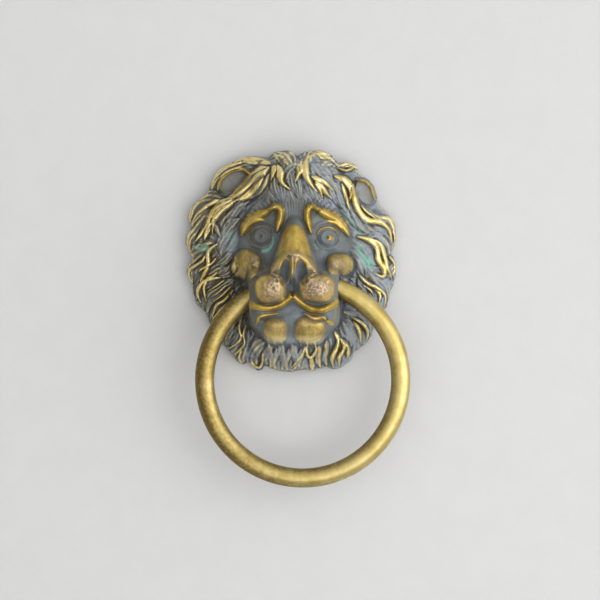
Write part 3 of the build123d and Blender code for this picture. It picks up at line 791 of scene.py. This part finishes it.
def sculpt():
    """The finished relief, and each point's distance inside the casting's edge."""
    relief = Relief()
    rim = inside_distance(closed_path(OUTLINE, 6))
    base = head_base(rim)
    relief.height = base.copy()
    mane = CROWN_LOCKS + UPPER_RIGHT_LOCKS + MIDDLE_RIGHT_LOCKS + MIDDLE_LEFT_LOCKS + LOWER_LOCKS
    draw_locks(relief, base, mane)
    draw_ears(relief)
    beard = BEARD_LEFT_LOCKS + beard_fringe() + BEARD_RIGHT_LOCKS
    draw_locks(relief, base, UPPER_LEFT_LOCKS + FORELOCKS + beard)
    skin = skin_mask()
    relief.smooth = np.clip(np.maximum(relief.smooth, skin), 0, 1)
    relief.height = relief.height * (1 - skin) + base * skin
    relief.gold *= 1 - skin
    hair = hair_texture(flow_angles(relief))
    hair_depth = (1 - relief.smooth) * (0.29 - 0.15 * np.clip(relief.gold, 0, 1))
    relief.height += hair_depth * np.clip(hair, -2.2, 2.2)
    draw_face(relief)
    relief.height += hand_work() * (0.4 + 0.6 * relief.smooth)
    rim = rim + 0.22 * np.clip(hair, -2, 2) * (rim > -2)
    edge_height = 3.6 + 5.0 * np.sqrt(np.clip(rim, 0, None)) + 2.0 * np.clip(rim, 0, None)
    relief.height = np.minimum(relief.height, edge_height)
    keep_patina_on_flanks(relief, skin)
    return relief, rim


# ---- from relief to a closed casting ----------------------------------------------------------------
def swing_room_radius(along):
    """Radius, round the hinge line, of the space the bar needs at each distance along that line."""
    along = np.clip(np.abs(along), 0, 36)
    rise = np.abs(np.sqrt(RING_RADIUS**2 - along**2) - RING_DROP)
    return rise + BAR_RADIUS / np.sqrt(1 - (along / RING_RADIUS) ** 2) + RING_ROOM


def lowest_within(field, radius):
    """Each cell takes the lowest value near it."""
    n = int(radius / CELL)
    for axis in (0, 1):
        low = field.copy()
        for k in range(1, n + 1):
            low = np.minimum(low, np.roll(field, k, axis))
            low = np.minimum(low, np.roll(field, -k, axis))
        field = low
    return field


def casting_field(relief, rim):
    """Signed distance, about, on a voxel grid: positive in the metal."""
    xs, ds, zs = (np.arange(low, high + VOXEL, VOXEL) for low, high in VOXEL_SPANS)
    gx, gz = np.meshgrid(xs, zs, indexing="ij")
    depth = ds[None, :, None].astype(np.float32)

    def through(plane):
        return plane[:, None, :].astype(np.float32)

    def spread(field):
        return through(at_point(field, gx, gz))

    def under(height, slope):
        """Distance below a surface, less where the surface is steep."""
        return (spread(height) - depth) / spread(np.sqrt(1 + slope**2))

    def round_stud(height):
        return through(np.hypot(gx, gz - height))

    metal = under(relief.height, steepness(blur(relief.height, 0.4)))
    metal = np.minimum(metal, spread(rim))
    metal = np.minimum(metal, depth)
    hollow = blur(lowest_within(np.where(rim > BACK_RIM, relief.height, 0.0), WALL), 1.5) - WALL
    metal = np.minimum(metal, -under(hollow, steepness(hollow)))
    front = spread(relief.height) - BOSS_COVER - depth
    for height in STUD_HEIGHTS:
        boss = np.minimum(np.minimum(BOSS_RADIUS - round_stud(height), depth - BOSS_GAP), front)
        metal = np.maximum(metal, boss)
    cos_t, sin_t = math.cos(HINGE_TILT), math.sin(HINGE_TILT)
    dx, dz = through(gx - HINGE_X), through(gz - HINGE_Z)
    along = dx * cos_t + dz * sin_t
    radial = np.sqrt((dz * cos_t - dx * sin_t) ** 2 + (depth - HINGE_DEPTH) ** 2)
    room = radial - swing_room_radius(along).astype(np.float32)
    far_off = 9.0
    metal = np.minimum(metal, np.where(np.abs(along) < MOUTH_HALF_WIDTH, room, far_off))
    for height in STUD_HEIGHTS:
        metal = np.minimum(metal, np.maximum(round_stud(height) - BORE_RADIUS, depth - BORE_DEPTH))
    return metal, (xs[0], ds[0], zs[0])


def casting_mesh(relief, rim):
    """The field's surface, with its front moved onto the relief exactly."""
    metal, start = casting_field(relief, rim)
    band = 2.0
    grid = openvdb.FloatGrid(band)
    grid.copyFromArray(np.clip(-metal, -band, band).astype(np.float32))
    points, quads = grid.convertToQuads(isovalue=0.0)
    x = points[:, 0] * VOXEL + start[0]
    d = points[:, 1] * VOXEL + start[1]
    z = points[:, 2] * VOXEL + start[2]
    slope_x, slope_z = np.gradient(relief.height, CELL)
    for _ in range(2):
        gap = at_point(relief.height, x, z) - d
        sx, sz = at_point(slope_x, x, z), at_point(slope_z, x, z)
        steep = 1 + sx**2 + sz**2
        on_front = (np.abs(gap) / np.sqrt(steep) < 0.5 * VOXEL) & (at_point(rim, x, z) > 0.6) & (steep < 6)
        move = np.where(on_front, gap / steep, 0.0)
        x, z, d = x - move * sx, z - move * sz, d + move
    return np.column_stack([x, -d, z]), quads


def set_attribute(mesh, name, values):
    layer = mesh.attributes.new(name, "FLOAT", "POINT")
    layer.data.foreach_set("value", np.ascontiguousarray(values, np.float32))


def make_mesh(name, points, faces):
    """A smooth-shaded object from arrays, in metres."""
    mesh = bpy.data.meshes.new(name)
    mesh.from_pydata((points * MM).tolist(), [], faces.tolist())
    mesh.polygons.foreach_set("use_smooth", np.ones(len(faces), bool))
    mesh.update()
    thing = bpy.data.objects.new(name, mesh)
    bpy.context.scene.collection.objects.link(thing)
    return thing


def lion_head():
    relief, rim = sculpt()
    points, quads = casting_mesh(relief, rim)
    head = make_mesh("lion_head_cast", points, quads)
    x, d, z = points[:, 0], -points[:, 1], points[:, 2]
    outer = np.clip(2.0 - np.abs(at_point(relief.height, x, z) - d), 0, 1)
    outer = np.maximum(outer, np.clip(1.2 - np.abs(at_point(rim, x, z)), 0, 1))
    steep = at_point(steepness(relief.height), x, z)
    outer = np.maximum(outer, np.clip(steep - 2.0, 0, 1) * (d > 5))
    crest = relief.height - blur(relief.height, 0.8)
    broad = relief.height - blur(relief.height, 3.0)
    attributes = {
        "outer": outer,                     # 1 on the outside, 0 in the hollow back
        "gold": at_point(np.clip(relief.gold, 0, 1), x, z) * outer,
        "crest": np.clip(at_point(crest, x, z), -1, 1),
        "broad": np.clip(at_point(broad, x, z) / 3.0, -1, 1),
        "green": at_point(verdigris_map(), x, z) * outer,
        "skin": at_point(relief.smooth, x, z),
        "blue": at_point(blue_map(), x, z),
        # A rubbed pinkish tint that also carries painted highlights.
        "rose_and_highlight": at_point(patches(ROSE_AND_HIGHLIGHT_PATCHES, 1.5), x, z),
        # Lighter grey patches; on the right ear's dish this is painted light.
        "pale": at_point(patches(PALE_AND_LIT_PATCHES, 1.6), x, z),
    }
    for name, values in attributes.items():
        set_attribute(head.data, name, values)
    return head


# ---- where the patina changes colour ----------------------------------------------------------------
# Rows are x, z, reach and how much bluer.
BLUE_PATCHES = (
    (28, -34, 12, 0.5), (-4, -28, 12, 0.35), (32, 18, 9, 0.4), (-36, 12, 7, 0.35),
    (8, 46, 6, 0.4), (-18, 18, 8, 0.25), (14, 18, 8, 0.3), (-6, -50, 12, 0.3),
)
# Rows of these two are x, z, half width, half height and strength.
# Where rubbing has left a dull pinkish-brown tint, which also paints highlights: the pads, the nostrils' rim
# and the cheeks' undersides.
ROSE_AND_HIGHLIGHT_PATCHES = (
    (-10.5, -14.5, 5.5, 6.0, 0.8), (12.5, -14.0, 7.5, 5.0, 1.0), (0.0, 2.0, 5.5, 2.2, 0.8),
    (9.8, -4.0, 2.4, 4.0, 0.9), (-9.6, -4.0, 2.2, 4.0, 0.8), (23.5, -2.5, 5.5, 3.5, 0.45),
    (-20.0, -0.5, 3.5, 3.0, 0.6), (-24.0, -6.5, 6.0, 2.5, 0.3), (7.5, -31.5, 6.0, 1.8, 0.4),
)
# Where the grey is lighter: on the right ear's dish this is painted light, as it faces the window; also the
# left dish, the smooth lock on the right and the beard.
PALE_AND_LIT_PATCHES = (
    (37.6, 36.6, 4.6, 7.0, 0.9), (-31.2, 42.0, 8.0, 4.6, 0.4), (28.0, -34.0, 5.5, 10.0, 0.5),
    (-6.0, -49.0, 11.0, 8.0, 0.4), (14.0, 18.5, 7.0, 4.0, 0.25),
)
# Where green corrosion gathered: beside the right eye, under the left one and here and there in the mane.
# Rows are points, half width and strength.
GREEN_STREAKS = (
    ([(33.5, 8), (35.5, 4), (38.5, 0.5), (39.5, -2)], 2.0, 1.0),
    ([(-10.6, 12.5), (-11, 9), (-13, 6), (-16, 5)], 1.0, 0.85),
    ([(-53, 8), (-49, 6.5), (-46, 7)], 2.0, 0.7),
    ([(-40, 15), (-35, 14), (-32, 12)], 2.6, 0.45),
    ([(25, 30), (28, 24), (33, 17), (35, 15)], 2.2, 0.45),
    ([(10.5, 9), (12, 6.8)], 1.2, 0.5),
    ([(9.5, 53), (10.5, 48)], 1.6, 0.4),
    ([(-29, 10), (-24, 8.5)], 1.2, 0.3),
    ([(46, 12), (49, 8)], 1.6, 0.3),
)


def blue_map():
    """How blue the patina is: bluest down the right and on the chin, brown and dark in the left mane."""
    blue = 0.5 + 0.32 * np.tanh((X + 4.0) / 26.0) - 0.18 * np.exp(-oval(-38.0, -14.0, 18.0, 20.0) ** 2)
    for x, z, reach, amount in BLUE_PATCHES:
        blue += amount * np.exp(-(oval(x, z, reach, reach) ** 2))
    return blue


def patches(rows, full):
    """The strongest of several ovals at each cell. Each is whole up to full - 1 of its size, gone at full."""
    total = np.zeros(X.shape)
    for x, z, rx, rz, amount in rows:
        total = np.maximum(total, amount * np.clip(full - oval(x, z, rx, rz), 0, 1))
    return total


def verdigris_map():
    green = np.zeros(X.shape)
    for points, half, strength in GREEN_STREAKS:
        window, t, across = near_path(smooth_path(points, 30), half * 2)
        mark = strength * np.clip(1.5 - np.abs(across) / (half * (0.35 + 0.65 * t)), 0, 1)
        green[window] = np.maximum(green[window], mark)
    return green


# ---- materials --------------------------------------------------------------------------------------
class Nodes:
    """Short ways to add and join nodes in one shader tree."""

    def __init__(self, tree):
        self.tree = tree
        self.place = tree.nodes.new("ShaderNodeTexCoord")

    def plug(self, value, socket):
        if isinstance(value, bpy.types.NodeSocket):
            self.tree.links.new(value, socket)
        elif value is not None:
            socket.default_value = value

    def attribute(self, name):
        node = self.tree.nodes.new("ShaderNodeAttribute")
        node.attribute_name = name
        return node.outputs["Fac"]

    def math(self, operation, a, b=None, c=None):
        node = self.tree.nodes.new("ShaderNodeMath")
        node.operation = operation
        for value, socket in zip((a, b, c), node.inputs):
            self.plug(value, socket)
        return node.outputs[0]

    def times(self, a, b):
        return self.math("MULTIPLY", a, b)

    def rest_of(self, value):
        """What is left of 1."""
        return self.math("SUBTRACT", 1.0, value)

    def vary(self, noise, amount, around):
        """A value moved up and down by a noise whose mean is 0.5."""
        return self.math("MULTIPLY_ADD", self.math("SUBTRACT", noise, 0.5), amount, around)

    def ramp(self, value, low, high, to_low=0.0, to_high=1.0, kind="SMOOTHSTEP"):
        """Value between low and high, carried over to another range."""
        node = self.tree.nodes.new("ShaderNodeMapRange")
        node.interpolation_type = kind
        for value, socket in zip((value, low, high, to_low, to_high), node.inputs):
            self.plug(value, socket)
        return node.outputs[0]

    def xyz(self, vector):
        node = self.tree.nodes.new("ShaderNodeSeparateXYZ")
        self.plug(vector, node.inputs[0])
        return node.outputs

    def noise(self, scale, detail=4.0, rough=0.55, stretch=None):
        """Cloudy noise, about 0.5 in the mean; scale is in lumps per metre."""
        place = self.place.outputs["Object"]
        if stretch:
            mapping = self.tree.nodes.new("ShaderNodeMapping")
            mapping.inputs["Scale"].default_value = stretch
            self.plug(place, mapping.inputs["Vector"])
            place = mapping.outputs[0]
        node = self.tree.nodes.new("ShaderNodeTexNoise")
        for name, value in (("Vector", place), ("Scale", scale), ("Detail", detail), ("Roughness", rough)):
            self.plug(value, node.inputs[name])
        return node.outputs["Fac"]

    def mix(self, factor, a, b):
        node = self.tree.nodes.new("ShaderNodeMix")
        node.data_type = "RGBA"
        colors = [s for s in node.inputs if s.type == "RGBA"]
        for value, socket in zip((factor, a, b), [node.inputs[0]] + colors):
            self.plug(value, socket)
        return [s for s in node.outputs if s.type == "RGBA"][0]

    def bump(self, height, strength, distance, normal=None):
        node = self.tree.nodes.new("ShaderNodeBump")
        values = {"Strength": strength, "Distance": distance, "Height": height, "Normal": normal}
        for name, value in values.items():
            self.plug(value, node.inputs[name])
        return node.outputs[0]


class Material(Nodes):
    """A new material's own tree, and what closes it."""

    def __init__(self, name):
        self.material = bpy.data.materials.new(name)
        self.material.use_nodes = True
        self.material.node_tree.nodes.clear()
        super().__init__(self.material.node_tree)
        self.out = self.tree.nodes.new("ShaderNodeOutputMaterial")

    def surface(self, color, metallic, roughness, normal=None):
        node = self.tree.nodes.new("ShaderNodeBsdfPrincipled")
        values = {"Base Color": color, "Metallic": metallic, "Roughness": roughness, "Normal": normal}
        for name, value in values.items():
            self.plug(value, node.inputs[name])
        self.tree.links.new(node.outputs[0], self.out.inputs["Surface"])
        return self.material

    def clear_where(self, amount):
        """Makes the surface see-through where the amount is 1."""
        solid = self.out.inputs["Surface"].links[0].from_socket
        clear = self.tree.nodes.new("ShaderNodeBsdfTransparent")
        choose = self.tree.nodes.new("ShaderNodeMixShader")
        for value, socket in zip((amount, solid, clear.outputs[0]), choose.inputs):
            self.plug(value, socket)
        self.tree.links.new(choose.outputs[0], self.out.inputs["Surface"])
        return self.material

    def seen_from_behind(self):
        return self.tree.nodes.new("ShaderNodeNewGeometry").outputs["Backfacing"]


def shade(red, green, blue):
    """A colour given as 0..255 screen values."""
    def linear(v):
        v /= 255.0
        return v / 12.92 if v <= 0.04045 else ((v + 0.055) / 1.055) ** 2.4
    return (linear(red), linear(green), linear(blue), 1.0)


def patina_color(n, cloud, grain, speck, crest, skin):
    """Blue-grey, browner in places, green where corroded, painted shade in the deepest cuts, painted
    highlight on strands.
    """
    wide = n.noise(45.0, 3.0, 0.5)
    hairy = n.mix(n.ramp(cloud, 0.3, 0.7), shade(112, 120, 126), shade(146, 157, 170))
    bare_skin = n.mix(cloud, shade(74, 82, 86), shade(116, 124, 130))
    grey = n.mix(n.times(skin, 0.8), hairy, bare_skin)
    brown = n.math("SUBTRACT", n.vary(wide, 1.6, 1.0), n.attribute("blue"))
    grey = n.mix(n.ramp(brown, 0.2, 0.85), grey, shade(94, 93, 84))
    grey = n.mix(n.ramp(grain, 0.45, 0.8, 0.0, 0.45), grey, shade(122, 114, 96))
    # Lighter grey patches; on the right ear's dish, which faces the window, this is painted light.
    grey = n.mix(n.times(n.attribute("pale"), 0.8), grey, shade(158, 160, 156))
    # Painted highlight: the crests of the hair strands are lightened to a pale grey-cream.
    strands = n.times(n.ramp(crest, 0.05, 0.4, 0.0, 0.75), n.rest_of(skin))
    grey = n.mix(strands, grey, shade(166, 164, 150))
    # Painted shade: the deepest cuts and hollows are darkened to near black, less on the bare face.
    deep = n.math("ADD", n.times(crest, 1.3), n.times(n.attribute("broad"), 0.8))
    painted_cut_shade = n.ramp(n.vary(cloud, 0.5, deep), -0.85, -0.15, 1.0, 0.0)
    painted_cut_shade = n.times(painted_cut_shade, n.math("MULTIPLY_ADD", skin, -0.4, 0.7))
    grey = n.mix(painted_cut_shade, grey, shade(54, 52, 46))
    teal = n.mix(n.ramp(speck, 0.3, 0.7), shade(96, 160, 140), shade(130, 190, 165))
    corroded = n.math("ADD", n.attribute("green"), n.times(grain, 0.5))
    return n.mix(n.times(n.ramp(corroded, 0.5, 1.0), 0.75), grey, teal)


def worn_brass_color(n, cloud, grain, speck, crest, skin, bare):
    """Bright on the locks and a dull ochre on the face, rosy where rubbed most and on painted highlights;
    painted shade on flanks.
    """
    soft_cloud = n.ramp(cloud, 0.25, 0.75)
    bright = n.mix(soft_cloud, shade(220, 194, 106), shade(252, 236, 176))
    ochre = n.mix(soft_cloud, shade(154, 124, 34), shade(216, 184, 80))
    brass = n.mix(n.times(skin, 0.85), bright, ochre)
    # A rubbed pinkish tint that also paints the highlights on the pads, the nose's arch and the cheeks'
    # undersides.
    rosy_tint_and_highlight = n.mix(n.ramp(grain, 0.35, 0.65), shade(150, 120, 84), shade(214, 192, 172))
    brass = n.mix(n.times(n.attribute("rose_and_highlight"), n.ramp(speck, 0.25, 0.6, 0.35, 1.0)), brass, rosy_tint_and_highlight)
    brass = n.mix(n.ramp(grain, 0.5, 0.75, 0.0, 0.45), brass, shade(112, 90, 44))
    # Painted shade: the flanks of locks and strands, and the grooves between them, are darkened to brown.
    brass = n.mix(n.ramp(crest, -0.24, 0.08, 0.75, 0.0), brass, shade(112, 86, 34))
    return n.mix(n.ramp(bare, 0.35, 1.0, 0.65, 0.0), brass, shade(118, 94, 44))


def patinated_brass():
    """Blue-grey patina in the hollows, rubbed through to warm brass on everything that stands out."""
    n = Material("patinated_brass")
    gold, crest, outer, skin = (n.attribute(name) for name in ("gold", "crest", "outer", "skin"))
    cloud = n.noise(140.0, 5.0, 0.6)
    grain = n.noise(900.0, 4.0, 0.6)
    speck = n.noise(2600.0, 3.0, 0.7)
    hair = n.rest_of(n.times(skin, 0.6))
    worn = n.math("MULTIPLY_ADD", n.times(crest, hair), 0.75, n.times(gold, 1.15))
    worn = n.vary(cloud, 0.45, n.vary(grain, 0.7, worn))
    fully_worn = n.math("MULTIPLY_ADD", skin, 0.22, 0.85)
    bare = n.times(n.ramp(worn, 0.28, fully_worn), outer)
    as_cast = n.mix(cloud, shade(92, 80, 58), shade(120, 104, 72))
    under = n.mix(outer, as_cast, patina_color(n, cloud, grain, speck, crest, skin))
    color = n.mix(bare, under, worn_brass_color(n, cloud, grain, speck, crest, skin, bare))
    metallic = n.math("MULTIPLY_ADD", bare, 0.6, 0.1)
    polished = n.times(bare, n.math("MULTIPLY_ADD", skin, -0.35, 1.0))
    rough = n.vary(grain, 0.3, n.math("MULTIPLY_ADD", polished, -0.3, 0.62))
    normal = n.bump(grain, 0.5, 0.0004, n.bump(speck, 0.25, 0.00012))
    return n.surface(color, metallic, rough, normal)


def ring_brass():
    """Satin brass handled for years: bright where hands rub its front, browned behind; painted light makes it
    brighter to the right, darker down its left.
    """
    n = Material("ring_brass")
    facing = n.xyz(n.place.outputs["Normal"])
    across = n.xyz(n.place.outputs["Generated"])
    cloud = n.noise(90.0, 5.0, 0.6)
    grain = n.noise(700.0, 4.0, 0.65)
    fine = n.noise(3000.0, 3.0, 0.6)
    # Painted light: besides the rubbed front, right-facing sides and the ring's right half are brighter, its
    # left side darker, as the window is on the right.
    rubbed_and_lit = n.math("MULTIPLY_ADD", facing["Y"], -0.8, n.times(facing["X"], 0.45))
    rubbed_and_lit = n.vary(across["X"], 0.75, rubbed_and_lit)
    rubbed_and_lit = n.vary(grain, 0.6, n.vary(cloud, 0.9, rubbed_and_lit))
    polish_and_lit_side = n.ramp(rubbed_and_lit, 0.0, 1.0)
    bright = n.mix(n.ramp(cloud, 0.3, 0.7), shade(186, 164, 92), shade(208, 188, 128))
    tarnish_and_shade = n.mix(n.ramp(grain, 0.3, 0.7), shade(110, 90, 44), shade(142, 120, 68))
    color = n.mix(polish_and_lit_side, tarnish_and_shade, bright)
    color = n.mix(n.ramp(fine, 0.58, 0.76, 0.0, 0.5), color, shade(104, 82, 46))
    rough = n.vary(grain, 0.25, n.math("MULTIPLY_ADD", polish_and_lit_side, -0.1, 0.44))
    return n.surface(color, 0.9, rough, n.bump(grain, 0.3, 0.0003, n.bump(fine, 0.15, 0.0001)))


def fixing_brass():
    """Turned yellow brass with fine tool marks and a little grime."""
    n = Material("fixing_brass")
    cloud = n.noise(250.0, 4.0, 0.6)
    grain = n.noise(1800.0, 3.0, 0.6)
    marks = n.noise(900.0, 2.0, 0.5, stretch=(0.15, 6.0, 0.15))
    color = n.mix(n.ramp(cloud, 0.3, 0.7), shade(196, 164, 92), shade(214, 186, 118))
    color = n.mix(n.ramp(grain, 0.58, 0.78, 0.0, 0.5), color, shade(116, 92, 54))
    return n.surface(color, 1.0, n.vary(cloud, 0.3, 0.34), n.bump(marks, 0.15, 0.0001))


def plaster():
    """The pale wall. It is seen and lit from the front only, so that the back can be looked at."""
    n = Material("plaster")
    lumps = n.noise(60.0, 5.0, 0.6)
    grain = n.noise(700.0, 3.0, 0.6)
    color = n.mix(n.ramp(lumps, 0.3, 0.7), shade(204, 204, 203), shade(206, 206, 205))
    n.surface(color, 0.0, 0.85, n.bump(grain, 0.25, 0.0002, n.bump(lumps, 0.2, 0.0008)))
    return n.clear_where(n.seen_from_behind())


def painted_shade_inside():
    """Painted shade: the door seen through the mouth, painted nearly black from the front, clear to
    everything but the eye.
    """
    n = Material("painted_shade_inside")
    n.surface(n.mix(n.noise(60.0), shade(20, 19, 17), shade(34, 32, 28)), 0.0, 0.9)
    eye = n.tree.nodes.new("ShaderNodeLightPath").outputs["Is Camera Ray"]
    return n.clear_where(n.rest_of(n.times(n.rest_of(n.seen_from_behind()), eye)))


def finish_with(thing, material):
    thing.data.materials.clear()
    thing.data.materials.append(material)


# ---- the set ----------------------------------------------------------------------------------------
WALL_REACH = 1.6        # metres, here and below
FLOOR_HEIGHT = -0.6
FLOOR_FRONT = -2.5
FLOOR_BACK = 2.5
WALL_GAP = 0.0004       # behind the casting's flat back
PAINTED_SHADE_RADIUS = 0.043     # the part of the wall behind the hollow


def stage_sheet(name, points, faces, material):
    mesh = bpy.data.meshes.new(name)
    mesh.from_pydata(points, [], faces)
    mesh.update()
    sheet = bpy.data.objects.new(name, mesh)
    bpy.context.scene.collection.objects.link(sheet)
    finish_with(sheet, material)


def wall_sheet(material):
    """The wall. Behind the mask a painted shade sheet is dark only to the eye, so that light still reaches
    the hollow back.
    """
    steps = 48
    points = []
    for i in range(steps):
        a = 2 * math.pi * i / steps
        c, s = math.cos(a), math.sin(a)
        up_or_down = WALL_REACH if s > 0 else -FLOOR_HEIGHT
        far = min(WALL_REACH / max(abs(c), NEVER_ZERO), up_or_down / max(abs(s), NEVER_ZERO))
        points += [(r * c, WALL_GAP, r * s) for r in (PAINTED_SHADE_RADIUS, far)]
    faces = [(2 * i, 2 * i + 1, (2 * i + 3) % (2 * steps), (2 * i + 2) % (2 * steps)) for i in range(steps)]
    stage_sheet("wall", points, faces, material)
    stage_sheet("painted_shade_sheet", points[::2], [tuple(range(steps))], painted_shade_inside())


def wall_and_floor():
    pale = plaster()
    wall_sheet(pale)
    corners = [
        (-WALL_REACH, FLOOR_FRONT, FLOOR_HEIGHT),
        (WALL_REACH, FLOOR_FRONT, FLOOR_HEIGHT),
        (WALL_REACH, FLOOR_BACK, FLOOR_HEIGHT),
        (-WALL_REACH, FLOOR_BACK, FLOOR_HEIGHT),
    ]
    stage_sheet("floor", corners, [(0, 1, 2, 3)], pale)


def soft_light(name, place, aim, size, power):
    light = bpy.data.lights.new(name, "AREA")
    light.shape = "RECTANGLE"
    light.size, light.size_y = size
    light.energy = power
    thing = bpy.data.objects.new(name, light)
    bpy.context.scene.collection.objects.link(thing)
    thing.location = place
    thing.rotation_mode = "QUATERNION"
    way = [a - p for a, p in zip(aim, place)]
    thing.rotation_quaternion = Vector(way).to_track_quat("-Z", "Y")


def surroundings():
    """A pale room, brighter to the right, where the window is, and bright behind the wall too."""
    world = bpy.data.worlds.new("room")
    bpy.context.scene.world = world
    world.use_nodes = True
    n = Nodes(world.node_tree)
    toward = n.tree.nodes.new("ShaderNodeVectorMath")
    toward.operation = "DOT_PRODUCT"
    n.plug(n.place.outputs["Generated"], toward.inputs[0])
    n.plug((0.70, -0.60, -0.39), toward.inputs[1])
    front_level = n.ramp(toward.outputs["Value"], -0.7, 1.0, 0.32, 1.42)
    back_level = n.ramp(n.xyz(n.place.outputs["Generated"])["Y"], 0.0, 0.4, 0.0, 0.9, "LINEAR")
    background = n.tree.nodes["Background"]
    n.plug((1.0, 1.0, 1.0, 1.0), background.inputs["Color"])
    n.plug(n.math("MAXIMUM", front_level, back_level), background.inputs["Strength"])


def camera():
    """Straight on, 1.2 m from the wall, framing 318 mm of it."""
    distance, frame_width, sensor = 1.2, 0.3184, 36.0
    data = bpy.data.cameras.new("camera")
    data.sensor_width = sensor
    data.lens = sensor * distance / frame_width
    data.clip_start = 0.01
    thing = bpy.data.objects.new("camera", data)
    bpy.context.scene.collection.objects.link(thing)
    thing.location = (0.0032, -distance, -0.0202)
    thing.rotation_euler = (math.radians(90), 0, 0)
    bpy.context.scene.camera = thing


def main():
    nodes = frame["nodes"]
    head = lion_head()
    finish_with(head, patinated_brass())
    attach(head, "mask")
    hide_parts("lion_head")
    finish_with(nodes["ring_bar"], ring_brass())
    turned = fixing_brass()
    finish_with(nodes["ring_joint_dowel"], turned)
    for place in ("upper", "lower"):
        for kind in ("stud", "washer", "cap_nut"):
            finish_with(nodes[f"{place}_{kind}"], turned)
    wall_and_floor()
    surroundings()
    soft_light("window", (0.92, -0.82, -0.22), (0, 0, 0), (1.4, 1.7), 9.5)
    soft_light("bounce", (0.15, -0.75, -0.5), (0, 0, -0.05), (1.2, 0.6), 2.4)
    camera()
    bpy.context.scene.view_settings.view_transform = "Standard"


main()
